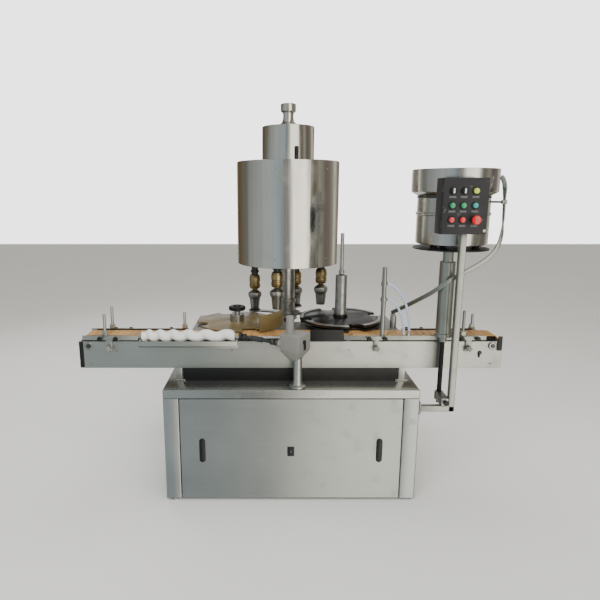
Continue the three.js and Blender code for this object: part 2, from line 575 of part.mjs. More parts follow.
// ---------------------------------------------------------------- cap sorter
function addSorter() {
  const { x, y, bowlX, bowlY, plate, base, shell, rim } = SORTER;
  const sorter = section(bowlX, bowlY);
  const column = (radius, z0, z1, sides) => disc(radius, z0, z1, sides, x - bowlX, y - bowlY);
  const stand = join(
    column(12.5, 532, 890, 10),
    column(21, 880, 910, 12),
    column(45, 908, 930, 16),
    column(40.5, 929, 1313, 16),
    column(27.5, 1312, plate + 1, 12),
    disc(201, plate, plate + 6, 32),
  );
  part(sorter, "sorter_stand", stand, "satinSteel");
  const feet = [90, 210, 330].map((angle) => disc(22, plate + 6 + GAP, base + 1, 10, ...around(130, angle)));
  const body = turned([[60, base], [181, base], [188, base + 8], [188, 1547], [194, 1550], [194, 1561],
    [188, 1564], [188, shell - GAP], [0, shell - GAP], [0, shell - 9], [181, shell - 9], [181, base + 9],
    [60, base + 9], [60, base]], 28);
  part(sorter, "bowl_base", join(body, ...feet), "brightSteel");
  const bowl = turned([[0, shell], [189, shell], [223, shell + 22], [223, rim], [219, rim],
    [219, shell + 26], [184, shell + 8], [0, shell + 34]], 32);
  part(sorter, "sorter_bowl", bowl, "brightSteel");

  const chute = section(0, 0);
  const path = [[1050, -424, 1748], [1066, -429, 1722], [1070, -432, 1680], [1070, -438, 1580], [1070, -446, 1480],
    [1052, -454, 1398], [985, -459, 1322], [889, -459, 1266], [800, -459, 1216], [755, -430, 1166],
    [690, -320, 1088], [592, -165, 984]];
  const tube = new THREE.Shape(new THREE.Path().absarc(0, 0, 12, 0, 2 * Math.PI).getPoints(4).slice(0, -1));
  const stay = rod([1015, -382, 1620], [1070, -434, 1620], 6, 6);
  part(chute, "cap_chute", join(swept(path, tube, 30), stay), "satinSteel");
}

// ---------------------------------------------------------------- control arm and box
function addControls() {
  const { x, y, half, low, boxBottom } = ARM;
  const arm = section(0, 0);
  const clampTop = low + 2 * half + 40;
  const tube = join(
    box(CABINET_HALF + GAP, CABINET_HALF + 8, CABINET_FRONT + 1, CABINET_FRONT + POST_DEPTH - 2, low - 18,
      low + 2 * half + 18),
    box(CABINET_HALF + 4, x + half, y - half, y + half, low, low + 2 * half),
    box(x - half, x + half, y - half, y + half, low, boxBottom - GAP),
    box(SORTER.x - 22, SORTER.x + 22, y - half + 4, SORTER.y + 24, low + 2 * half - 4, clampTop),
    rod([SORTER.x, y - half + 6, clampTop - 20], [SORTER.x, y - half - 16, clampTop - 20], 14, 8),
  );
  part(arm, "control_arm", cut(tube, disc(14.5, low, clampTop + 10, 10, SORTER.x, SORTER.y)), "satinSteel");

  const controls = section(BOX.x, BOX.front);
  const depth = BOX.back - BOX.front;
  const housing = [box(-BOX.half, BOX.half, 0, depth, boxBottom, BOX.top)];
  const bores = [];
  const bezels = [];
  for (const row of BUTTON_ROWS) {
    for (const column of BUTTON_COLUMNS) {
      bezels.push(rod([column, -4, row], [column, 2, row], 18, 10));
      bores.push(rod([column, -20, row], [column, 14, row], BUTTON_BORE, 10));
    }
  }
  part(controls, "control_box", cut(join(...housing, ...bezels), ...bores), "charcoal");

  const cap = (radius) => rod([0, -13, 0], [0, 8, 0], radius, 10);
  const place = (column, row) => [BUTTON_COLUMNS[column], 0, BUTTON_ROWS[row]];
  const selector = join(cap(13.5), box(-5, 5, -21, -12, -12, 12));
  part(controls, "selector_left", selector, "whitePlastic", place(0, 0));
  part(controls, "selector_right", selector, "whitePlastic", place(1, 0));
  part(controls, "indicator_lamp", cap(13.5), "lampYellow", place(2, 0));
  part(controls, "green_button_left", cap(13.5), "green", place(0, 1));
  part(controls, "green_button_right", cap(13.5), "green", place(1, 1));
  part(controls, "teal_button", cap(13.5), "teal", place(2, 1));
  part(controls, "rose_button", cap(13.5), "red", place(0, 2));
  part(controls, "red_button", cap(13.5), "red", place(1, 2));
  const mushroom = join(rod([0, -26, 0], [0, 6, 0], 11, 8), rod([0, -26, 0], [0, -38, 0], 22.5, 16),
    rod([0, -38, 0], [0, -43, 0], 22.5, 16, 14));
  part(controls, "emergency_stop", mushroom, "red", place(2, 2));
}

addCabinet();
addConveyor();
addGuides();
addFeedScrew();
addStars();
addTurret();
addSorter();
addControls();

export default machine;
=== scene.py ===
"""Rotary capping machine: the looks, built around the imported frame. Everything is in metres."""

import json
import math

import bmesh
import bpy
from mathutils import Matrix, Vector


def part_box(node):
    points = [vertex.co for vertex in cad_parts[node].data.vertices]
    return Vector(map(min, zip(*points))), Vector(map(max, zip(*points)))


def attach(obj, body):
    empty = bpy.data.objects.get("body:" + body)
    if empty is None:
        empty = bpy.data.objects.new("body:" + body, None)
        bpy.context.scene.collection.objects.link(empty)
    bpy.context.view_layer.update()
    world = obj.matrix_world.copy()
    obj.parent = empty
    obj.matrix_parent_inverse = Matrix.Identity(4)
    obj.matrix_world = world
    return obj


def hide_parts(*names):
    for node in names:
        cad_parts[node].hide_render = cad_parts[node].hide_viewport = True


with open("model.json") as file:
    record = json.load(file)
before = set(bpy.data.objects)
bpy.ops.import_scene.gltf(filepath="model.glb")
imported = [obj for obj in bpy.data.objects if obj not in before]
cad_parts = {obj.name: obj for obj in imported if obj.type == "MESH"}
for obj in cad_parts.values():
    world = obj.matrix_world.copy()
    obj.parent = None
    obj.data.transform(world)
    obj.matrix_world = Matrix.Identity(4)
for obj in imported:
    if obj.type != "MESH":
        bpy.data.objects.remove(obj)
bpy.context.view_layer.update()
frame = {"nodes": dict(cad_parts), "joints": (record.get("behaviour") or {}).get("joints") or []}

FULL_TURN = 2 * math.pi
SMOOTH_ANGLE = math.radians(32)
SEAT = 0.6455  # the underside of what stands on the worktop
PLATE_LOW, PLATE_HIGH = 0.905, 0.914  # the lower plate of a star wheel
PLATE_FACE = 0.08  # from the chain's middle to the outside of a conveyor side plate
STAND = (0.818, -0.4)
CLAMP_HEIGHT = 0.576
ROOM_STRENGTH = 2.4
BACKDROP_STRENGTH = 3.2


# ------------------------------------------------------------------ camera
def add_camera():
    """The operator's eye, a little left of the middle and looking slightly down."""
    data = bpy.data.cameras.new("camera")
    data.sensor_width = 36
    data.lens = 31.32
    data.shift_x = 0.05
    camera = bpy.data.objects.new("camera", data)
    camera.location = (-0.1126, -3.115, 1.67)
    camera.rotation_euler = (math.radians(90 - 11.7), 0, 0)
    bpy.context.scene.collection.objects.link(camera)
    bpy.context.scene.camera = camera


add_camera()


# ------------------------------------------------------------------ shader maths
class Value:
    """A shader socket; an expression on it adds Math nodes."""

    def __init__(self, graph, socket):
        self.graph = graph
        self.socket = socket

    def maths(self, operation, first, second):
        return self.graph.node("ShaderNodeMath", {"operation": operation}, {0: first, 1: second})

    def __add__(self, other):
        return self.maths("ADD", self, other)

    def __radd__(self, other):
        return self.maths("ADD", other, self)

    def __sub__(self, other):
        return self.maths("SUBTRACT", self, other)

    def __rsub__(self, other):
        return self.maths("SUBTRACT", other, self)

    def __mul__(self, other):
        return self.maths("MULTIPLY", self, other)

    def __rmul__(self, other):
        return self.maths("MULTIPLY", other, self)


class Graph:
    """A node tree whose nodes all come from one method."""

    def __init__(self, tree):
        self.tree = tree

    def node(self, kind, settings=None, inputs=None, output=0):
        made = self.tree.nodes.new(kind)
        for key, value in (settings or {}).items():
            if key == "stops":
                self.set_stops(made.color_ramp, value)
            elif key == "blending":
                made.color_ramp.interpolation = value
            else:
                setattr(made, key, value)
        for key, value in (inputs or {}).items():
            if isinstance(value, Value):
                self.tree.links.new(value.socket, made.inputs[key])
            else:
                made.inputs[key].default_value = value
        return Value(self, made.outputs[output]) if made.outputs else None

    @staticmethod
    def set_stops(ramp, stops):
        elements = ramp.elements
        elements[0].position, elements[0].color = stops[0]
        elements[1].position, elements[1].color = stops[-1]
        for position, colour in stops[1:-1]:
            elements.new(position).color = colour


class Look(Graph):
    """A procedural material around one Principled shader."""

    def __init__(self, name, **fixed):
        self.material = bpy.data.materials.new(name)
        self.material.use_nodes = True
        super().__init__(self.material.node_tree)
        self.shader = self.tree.nodes["Principled BSDF"]
        for key, value in fixed.items():
            self.shader.inputs[key.replace("_", " ")].default_value = value

    def put(self, socket, value):
        self.tree.links.new(value.socket, self.shader.inputs[socket])

    def place(self, scale=(1, 1, 1), turn=(0, 0, 0)):
        coordinates = self.node("ShaderNodeTexCoord", output=3)
        return self.node("ShaderNodeMapping", inputs={0: coordinates, 2: turn, 3: scale})

    def noise(self, scale, detail=3.0, stretch=(1, 1, 1)):
        where = self.place(stretch)
        return self.node("ShaderNodeTexNoise", inputs={"Vector": where, "Scale": scale, "Detail": detail})

    def sharpen(self, value, low, high):
        return self.node("ShaderNodeMapRange", inputs={0: value, 1: low, 2: high, 3: 0.0, 4: 1.0})

    def mix(self, amount, first, second):
        return self.node("ShaderNodeMix", {"data_type": "RGBA"}, {0: amount, 6: first, 7: second}, 2)

    def bump(self, height, distance, strength=1.0):
        inputs = {"Height": height, "Distance": distance, "Strength": strength}
        return self.node("ShaderNodeBump", inputs=inputs)


def rgb(red, green, blue):
    return (red, green, blue, 1.0)


def shade(colour, factor):
    return rgb(*(min(1.0, channel * factor) for channel in colour[:3]))


# ------------------------------------------------------------------ finishes
def brushed(name, colour, roughness, grain_along, contrast=0.16, smudge=0.14):
    """Sheet metal with a fine grain along one axis, handling marks and faint darker clouds."""
    look = Look(name, Metallic=0.93)
    across = [260.0, 260.0, 260.0]
    across["xyz".index(grain_along)] = 3.0
    grain = look.noise(1.0, 4.0, tuple(across))
    clouds = look.noise(2.3, 4.0)
    marks = look.sharpen(look.noise(14.0, 6.0), 0.56, 0.78)
    tone = look.sharpen(clouds * 0.7 + grain * 0.3, 0.3, 0.72)
    base = look.mix(tone, shade(colour, 1 - contrast), shade(colour, 1 + contrast))
    look.put("Base Color", look.mix(marks * 0.25, base, shade(colour, 0.62)))
    look.put("Roughness", (grain - 0.5) * 0.16 + (clouds - 0.5) * smudge + marks * 0.1 + roughness)
    look.put("Normal", look.bump(grain + clouds * 0.6, 0.0006, 0.35))
    return look.material


def polished(name, colour, roughness=0.16, ripple=(9.0, 9.0, 0.35)):
    """Rolled bright sheet: long soft ripples along its height, finger marks and faint wiping lines."""
    look = Look(name, Metallic=1.0)
    rolls = look.noise(2.2, 2.0, ripple)
    lines = look.noise(1.0, 5.0, (180.0, 180.0, 2.5))
    marks = look.sharpen(look.noise(9.0, 6.0), 0.5, 0.8)
    base = look.mix(look.sharpen(rolls, 0.35, 0.65), shade(colour, 0.9), shade(colour, 1.06))
    look.put("Base Color", look.mix(marks * 0.18, base, shade(colour, 0.7)))
    look.put("Roughness", marks * 0.14 + (lines - 0.5) * 0.08 + roughness)
    look.put("Normal", look.bump(rolls + lines * 0.04, 0.006, 0.25))
    return look.material


def machined(name, colour, roughness, metallic=1.0):
    """Turned or milled metal with tool rings and oily darkening."""
    look = Look(name, Metallic=metallic)
    rings = look.noise(1.0, 3.0, (30.0, 30.0, 700.0))
    oil = look.sharpen(look.noise(24.0, 5.0), 0.42, 0.7)
    look.put("Base Color", look.mix(oil * 0.55, colour, shade(colour, 0.48)))
    look.put("Roughness", oil * 0.18 + (rings - 0.5) * 0.1 + roughness)
    look.put("Normal", look.bump(rings, 0.0003, 0.4))
    return look.material


def painted(name, colour, roughness, peel=240.0, depth=0.0004, chips=0.12):
    """Sprayed or powder paint: orange peel, dust in the hollows and a few worn spots."""
    look = Look(name, Metallic=0.0)
    peel_height = look.noise(peel, 3.0)
    dust = look.sharpen(look.noise(6.0, 5.0), 0.45, 0.75)
    wear = look.sharpen(look.noise(38.0, 6.0), 0.66, 0.74)
    base = look.mix(dust * 0.3, colour, shade(colour, 1.35))
    look.put("Base Color", look.mix(wear * chips, base, rgb(0.5, 0.5, 0.48)))
    look.put("Roughness", dust * 0.15 + roughness)
    look.put("Normal", look.bump(peel_height + wear * -0.4, depth, 0.6))
    return look.material


def plastic(name, colour, roughness, coat=0.0, wear=0.3, grain=320.0):
    """Moulded or machined plastic with a fine skin and rubbed, slightly paler areas."""
    look = Look(name, Metallic=0.0, Coat_Weight=coat, Coat_Roughness=0.12)
    skin = look.noise(grain, 4.0)
    rubbed = look.sharpen(look.noise(17.0, 5.0), 0.45, 0.72)
    look.put("Base Color", look.mix(rubbed * wear, colour, shade(colour, 1.3)))
    look.put("Roughness", rubbed * -0.08 + (skin - 0.5) * 0.12 + roughness)
    look.put("Normal", look.bump(skin, 0.00025, 0.4))
    return look.material


def laminate(name):
    """Cotton-filled phenolic sheet: amber brown, with its cloth weave and darker resin clouds."""
    look = Look(name, Metallic=0.0, Coat_Weight=0.35, Coat_Roughness=0.18)
    warp = look.node("ShaderNodeTexWave", {"bands_direction": "X"}, {"Vector": look.place(), "Scale": 190.0})
    weft = look.node("ShaderNodeTexWave", {"bands_direction": "Y"}, {"Vector": look.place(), "Scale": 190.0})
    cloth = warp * weft
    resin = look.sharpen(look.noise(8.0, 5.0), 0.3, 0.75)
    base = look.mix(resin, rgb(0.17, 0.125, 0.05), rgb(0.085, 0.062, 0.026))
    look.put("Base Color", look.mix(cloth * 0.3, base, rgb(0.28, 0.21, 0.09)))
    look.put("Roughness", resin * 0.14 + 0.3)
    look.put("Normal", look.bump(cloth, 0.0002, 0.5))
    return look.material


def slats(name):
    """Acetal chain slats: tan and orange-brown, each a little different, dusty on top."""
    look = Look(name, Metallic=0.0)
    patch = look.noise(1.0, 2.0, (26.3, 0.6, 0.6))
    scuff = look.sharpen(look.noise(60.0, 6.0, (0.4, 1.6, 1.6)), 0.5, 0.72)
    base = look.mix(look.sharpen(patch, 0.34, 0.66), rgb(0.50, 0.27, 0.08), rgb(0.33, 0.17, 0.06))
    look.put("Base Color", look.mix(scuff * 0.35, base, rgb(0.62, 0.44, 0.24)))
    look.put("Roughness", scuff * 0.2 + 0.38)
    look.put("Normal", look.bump(scuff, 0.0004, 0.4))
    return look.material


def hose(name):
    """Pale blue polyurethane tube, slightly cloudy."""
    look = Look(name, Metallic=0.0, Roughness=0.25, Coat_Weight=0.4, Subsurface_Weight=0.25)
    haze = look.noise(40.0, 3.0)
    look.put("Base Color", look.mix(haze, rgb(0.36, 0.47, 0.66), rgb(0.55, 0.64, 0.78)))
    look.put("Normal", look.bump(haze, 0.0003, 0.3))
    return look.material


LOOKS = {
    "sheet": brushed("satin_sheet", rgb(0.40, 0.42, 0.41), 0.40, "x"),
    "post": brushed("satin_post", rgb(0.42, 0.44, 0.45), 0.38, "z"),
    "plate": brushed("conveyor_sheet", rgb(0.47, 0.48, 0.45), 0.36, "x"),
    "worktop": brushed("bright_worktop", rgb(0.44, 0.45, 0.43), 0.24, "x", 0.1),
    "bright": polished("polished_cover", rgb(0.66, 0.65, 0.61)),
    "bowl": polished("polished_bowl", rgb(0.60, 0.60, 0.58), 0.2),
    "turned": machined("turned_steel", rgb(0.46, 0.46, 0.445), 0.32),
    "tube": brushed("drawn_tube", rgb(0.36, 0.38, 0.35), 0.34, "z"),
    "dark": machined("oiled_steel", rgb(0.085, 0.088, 0.09), 0.38, 0.85),
    "brass": machined("turned_brass", rgb(0.42, 0.32, 0.155), 0.33),
    "cast": painted("cast_housing", rgb(0.22, 0.215, 0.20), 0.5, 130.0, 0.001),
    "charcoal": painted("charcoal_powder", rgb(0.015, 0.015, 0.018), 0.5),
    "motor": painted("motor_enamel", rgb(0.05, 0.11, 0.17), 0.45),
    "black": plastic("black_moulding", rgb(0.004, 0.004, 0.005), 0.48),
    "disc": plastic("black_disc", rgb(0.006, 0.006, 0.006), 0.36, 0.15, 0.5),
    "rubber": plastic("black_rubber", rgb(0.02, 0.02, 0.021), 0.7),
    "white": plastic("white_nylon", rgb(0.78, 0.79, 0.77), 0.36, 0.0, 0.1),
    "knob": plastic("silver_knob", rgb(0.66, 0.67, 0.68), 0.28, 0.5),
    "label": plastic("blank_label", rgb(0.10, 0.10, 0.105), 0.5),
    "green": plastic("green_cap", rgb(0.01, 0.26, 0.10), 0.22, 0.8),
    "teal": plastic("teal_cap", rgb(0.02, 0.27, 0.26), 0.22, 0.8),
    "red": plastic("red_cap", rgb(0.62, 0.015, 0.012), 0.25, 0.8),
    "rose": plastic("rose_cap", rgb(0.55, 0.03, 0.05), 0.25, 0.8),
    "yellow": plastic("yellow_lens", rgb(0.52, 0.60, 0.06), 0.18, 1.0),
    "laminate": laminate("phenolic_laminate"),
    "slats": slats("acetal_slats"),
    "hose": hose("air_tube"),
}


# ------------------------------------------------------------------ modelling
def ease_edges(part, edges, offset, segments):
    bmesh.ops.bevel(part, geom=edges, offset=offset, segments=segments, affect="EDGES", profile=0.5,
                    material=-1)


class Piece:
    """One visible piece, put together from turned, drawn and bevelled shapes in the row frame."""

    def __init__(self, name):
        self.name = name
        self.mesh = bmesh.new()

    def blend_in(self, part, matrix=None):
        """Adds another bmesh to this one, after an optional placing."""
        if matrix is not None:
            bmesh.ops.transform(part, matrix=matrix, verts=part.verts)
        scratch = bpy.data.meshes.new("scratch")
        part.to_mesh(scratch)
        part.free()
        self.mesh.from_mesh(scratch)
        bpy.data.meshes.remove(scratch)
        return self

    def slab(self, size, bevel, matrix, segments=3):
        """A box of a size, with rounded edges, placed by a matrix."""
        part = bmesh.new()
        bmesh.ops.create_cube(part, size=1)
        bmesh.ops.scale(part, vec=size, verts=part.verts)
        ease_edges(part, part.edges[:], min(bevel, min(size) * 0.45), segments)
        return self.blend_in(part, matrix)

    def block(self, low, high, bevel=0.0015, turn=0.0):
        """A box between two corners, turned about its middle."""
        middle = (Vector(low) + Vector(high)) / 2
        turned = Matrix.Translation(middle) @ Matrix.Rotation(turn, 4, "Z")
        return self.slab(Vector(high) - Vector(low), bevel, turned)

    def turned(self, profile, at=(0, 0, 0), axis=(0, 0, 1), steps=48):
        """A profile of (radius, height) spun about an axis through a point."""
        part = bmesh.new()
        corners = [part.verts.new((radius, 0, height)) for radius, height in profile]
        edges = [part.edges.new(pair) for pair in zip(corners, corners[1:])]
        bmesh.ops.spin(part, geom=corners + edges, axis=(0, 0, 1), angle=FULL_TURN, steps=steps,
                       use_merge=True)
        bmesh.ops.remove_doubles(part, verts=part.verts, dist=1e-6)
        bmesh.ops.recalc_face_normals(part, faces=part.faces)
        aim = Vector((0, 0, 1)).rotation_difference(Vector(axis)).to_matrix().to_4x4()
        return self.blend_in(part, Matrix.Translation(at) @ aim)

    def bar(self, start, end, radius, steps=24, edge=0.0008):
        """A round bar between two points, with its ends eased."""
        run = Vector(end) - Vector(start)
        edge = min(edge, radius * 0.4)
        profile = [(0, 0), (radius - edge, 0), (radius, edge), (radius, run.length - edge),
                   (radius - edge, run.length), (0, run.length)]
        return self.turned(profile, start, run, steps)

    def bolt(self, at, axis, size=0.006):
        """A socket-head screw."""
        hole = size * 0.5
        profile = [(0, size * 0.45), (hole, size * 0.45), (hole, size), (size * 0.9, size),
                   (size, size * 0.85), (size, 0)]
        return self.turned(profile, at, axis, 12)

    def outline(self, points, low, high, bevel=0.0008):
        """A flat outline raised from one height to another."""
        part = bmesh.new()
        face = part.faces.new([part.verts.new((x, y, low)) for x, y in points])
        if face.normal.z > 0:
            face.normal_flip()
        raised = bmesh.ops.extrude_face_region(part, geom=[face], use_keep_orig=True)
        top = [item for item in raised["geom"] if isinstance(item, bmesh.types.BMVert)]
        bmesh.ops.translate(part, vec=(0, 0, high - low), verts=top)
        bmesh.ops.recalc_face_normals(part, faces=part.faces)
        if bevel:
            flat = [edge for edge in part.edges if abs(edge.verts[0].co.z - edge.verts[1].co.z) < 1e-7]
            ease_edges(part, flat, bevel, 2)
        return self.blend_in(part)

    def swept(self, points, radius, half_width=0.0):
        """A tube, or a flat bar with round edges, along a smooth route."""
        curve = bpy.data.curves.new("route", "CURVE")
        curve.dimensions = "3D"
        curve.bevel_depth = radius
        curve.extrude = half_width
        curve.twist_mode = "Z_UP"
        curve.use_fill_caps = True
        curve.bevel_resolution = 4
        spline = curve.splines.new("NURBS")
        spline.points.add(len(points) - 1)
        for control, point in zip(spline.points, points):
            control.co = (*point, 1)
        spline.use_endpoint_u = True
        spline.order_u = 4
        spline.resolution_u = 8
        holder = bpy.data.objects.new("route", curve)
        mesh = bpy.data.meshes.new_from_object(holder)
        self.mesh.from_mesh(mesh)
        bpy.data.objects.remove(holder)
        bpy.data.curves.remove(curve)
        bpy.data.meshes.remove(mesh)
        return self

    def done(self, look, body, slot, *replaced):
        """Makes the object, gives it its finish and lets it ride on a body."""
        for face in self.mesh.faces:
            face.smooth = True
        for edge in self.mesh.edges:
            edge.smooth = edge.calc_face_angle(0) < SMOOTH_ANGLE
        mesh = bpy.data.meshes.new(self.name)
        self.mesh.to_mesh(mesh)
        self.mesh.free()
        mesh.materials.append(LOOKS[look])
        made = bpy.data.objects.new(self.name, mesh)
        bpy.context.scene.collection.objects.link(made)
        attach(made, body)
        if replaced:
            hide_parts(*replaced)
        return made


def finish_node(node, look):
    """Gives a CAD node that stays visible its finish."""
    materials = frame["nodes"][node].data.materials
    materials.clear()
    materials.append(LOOKS[look])


def centre(node):
    low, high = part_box(node)
    return (low + high) / 2


def around(middle, radius, angle, height=None):
    z = middle[2] if height is None else height
    return Vector((middle[0] + radius * math.cos(angle), middle[1] + radius * math.sin(angle), z))


def joint_place(name):
    return Vector(next(joint["pos_m"] for joint in frame["joints"] if joint["name"] == name))


# ------------------------------------------------------------------ cabinet
def build_cabinet():
    low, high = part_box("base_frame")
    lip_low, lip_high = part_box("cabinet_top")
    panel_low, panel_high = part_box("front_panel")
    post_x = panel_high.x + 0.002
    post_top = lip_low.z - 0.0005
    foot = 0.012
    frame_piece = Piece("cabinet_frame")
    for side in (-1, 1):
        for near, far in ((low.y, low.y + 0.06), (high.y - 0.06, high.y)):
            x0, x1 = sorted((side * post_x, side * high.x))
            frame_piece.block((x0, near, foot), (x1, far, post_top), 0.006)
            frame_piece.turned([(0, 0), (0.023, 0), (0.025, 0.002), (0.025, 0.009), (0.012, 0.011),
                                (0.012, 0.02), (0, 0.02)], (side * 0.642, (near + far) / 2, 0), steps=24)
    frame_piece.block((low.x + 0.002, low.y + 0.02, foot), (high.x - 0.002, high.y - 0.02, 0.03))
    frame_piece.block((-post_x, low.y + 0.03, 0.43), (post_x, high.y - 0.03, 0.442))
    post_at = joint_place("turret_spin")
    frame_piece.bar((0, post_at.y, 0.44), (0, post_at.y, 2.05), 0.03)
    frame_piece.done("post", "root", "satin_steel", "base_frame")

    top = Piece("worktop")
    top.block((lip_low.x, lip_low.y, lip_low.z), (lip_high.x, lip_high.y, 0.645), 0.005)
    top.done("worktop", "root", "bright_steel", "cabinet_top")
    flanges = Piece("shaft_flanges")
    for name, radius, bore in (("infeed_spin", 0.045, 0.0175), ("outfeed_spin", 0.045, 0.0175),
                               ("turret_spin", 0.085, 0.0515)):
        at = joint_place(name)
        flanges.turned([(bore, SEAT), (radius - 0.001, SEAT), (radius, 0.6465), (radius, 0.654),
                        (radius - 0.012, 0.656), (radius - 0.016, 0.667), (bore, 0.667), (bore, SEAT)],
                       (at.x, at.y, 0))
        for turn in range(6):
            flanges.bolt(around(at, radius - 0.0065, turn * FULL_TURN / 6, 0.654), (0, 0, 1), 0.0045)
    flanges.done("turned", "root", "bright_steel")

    seam = 0.0008
    for name, node in (("front_cover", "front_panel"), ("back_cover", "back_panel"),
                       ("left_cover", "left_side_panel"), ("right_cover", "right_side_panel")):
        cover_low, cover_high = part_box(node)
        cover = Piece(name)
        cover.block(cover_low + Vector((seam, 0, seam)), cover_high - Vector((seam, 0, seam)), 0.0035)
        cover.done("sheet", "front_door" if node == "front_panel" else "root", "satin_steel", node)

    grips = Piece("panel_grips")
    for x in (-0.478, 0.478):
        for radius, depth, y in ((0.0165, 0.0022, panel_low.y - 0.0022),
                                 (0.0095, 0.0006, panel_low.y - 0.0026)):
            rim = Piece("rim")
            shape = [around((x, 0, 0), radius, math.pi * step / 12, 0) for step in range(13)]
            loop = [(p.x, 0.301 + 0.053 + p.y) for p in shape]
            loop += [(2 * x - p.x, 0.301 - 0.053 - p.y) for p in shape]
            rim.outline(loop, 0, depth, 0.0008)
            turn = Matrix.Translation((0, y + depth, 0)) @ Matrix.Rotation(math.pi / 2, 4, "X")
            bmesh.ops.transform(rim.mesh, matrix=turn, verts=rim.mesh.verts)
            grips.blend_in(rim.mesh)
    grips.done("black", "front_door", "black_plastic")

    lock_low, lock_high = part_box("panel_lock")
    lock = Piece("square_lock")
    lock.block((-0.0185, lock_low.y + 0.0012, lock_low.z - 0.004),
               (0.0185, panel_low.y - 0.0002, lock_high.z + 0.004), 0.0015)
    lock.turned([(0, 0.0016), (0.006, 0.0016), (0.0075, 0.001), (0.0085, 0)], (0, lock_low.y + 0.0014, 0.295),
                (0, -1, 0), 24)
    lock.done("black", "lock", "black_plastic", "panel_lock")
    slot = Piece("lock_slot")
    slot.block((-0.0012, lock_low.y - 0.0004, 0.289), (0.0012, lock_low.y + 0.0004, 0.301), 0.0002)
    slot.done("turned", "lock", "black_plastic")

    motor = Piece("drive_motor")
    motor_low, motor_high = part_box("gear_motor")
    y, z = 0.24, 0.17
    motor.block((motor_low.x, motor_low.y, 0.0305), (motor_high.x, motor_high.y, 0.05), 0.003)
    motor.bar((-0.345, y, z), (-0.09, y, z), 0.07)
    for fin in range(22):
        x = -0.33 + fin * 0.0088
        motor.turned([(0.068, 0), (0.08, 0), (0.08, 0.003), (0.068, 0.003), (0.068, 0)], (x, y, z), (1, 0, 0))
    motor.turned([(0, 0), (0.06, 0), (0.08, 0.012), (0.08, 0.03), (0, 0.03)], (-0.358, y, z), (1, 0, 0))
    motor.block((-0.28, y - 0.04, 0.05), (-0.16, y + 0.04, 0.11), 0.004)
    motor.block((-0.255, y - 0.045, 0.235), (-0.165, y + 0.045, 0.28), 0.006)
    motor.block((-0.095, 0.165, 0.05), (0.0, 0.315, 0.3), 0.012)
    motor.bar((-0.045, y, 0.3), (-0.045, y, 0.344), 0.024)
    motor.done("motor", "root", "motor_blue", "gear_motor")


# ------------------------------------------------------------------ conveyor
def chain_point(distance, centre_x, radius, centre_z):
    """Where the chain's pitch line is after a distance, and its heading in the X-Z plane."""
    straight = 2 * centre_x
    bend = math.pi * radius
    distance %= 2 * (straight + bend)
    if distance < straight:
        return Vector((-centre_x + distance, 0, centre_z + radius)), 0.0
    distance -= straight
    if distance < bend:
        angle = distance / radius
        return Vector((centre_x + radius * math.sin(angle), 0, centre_z + radius * math.cos(angle))), angle
    distance -= bend
    if distance < straight:
        return Vector((centre_x - distance, 0, centre_z - radius)), math.pi
    angle = math.pi + (distance - straight) / radius
    return Vector((-centre_x + radius * math.sin(angle), 0, centre_z + radius * math.cos(angle))), angle


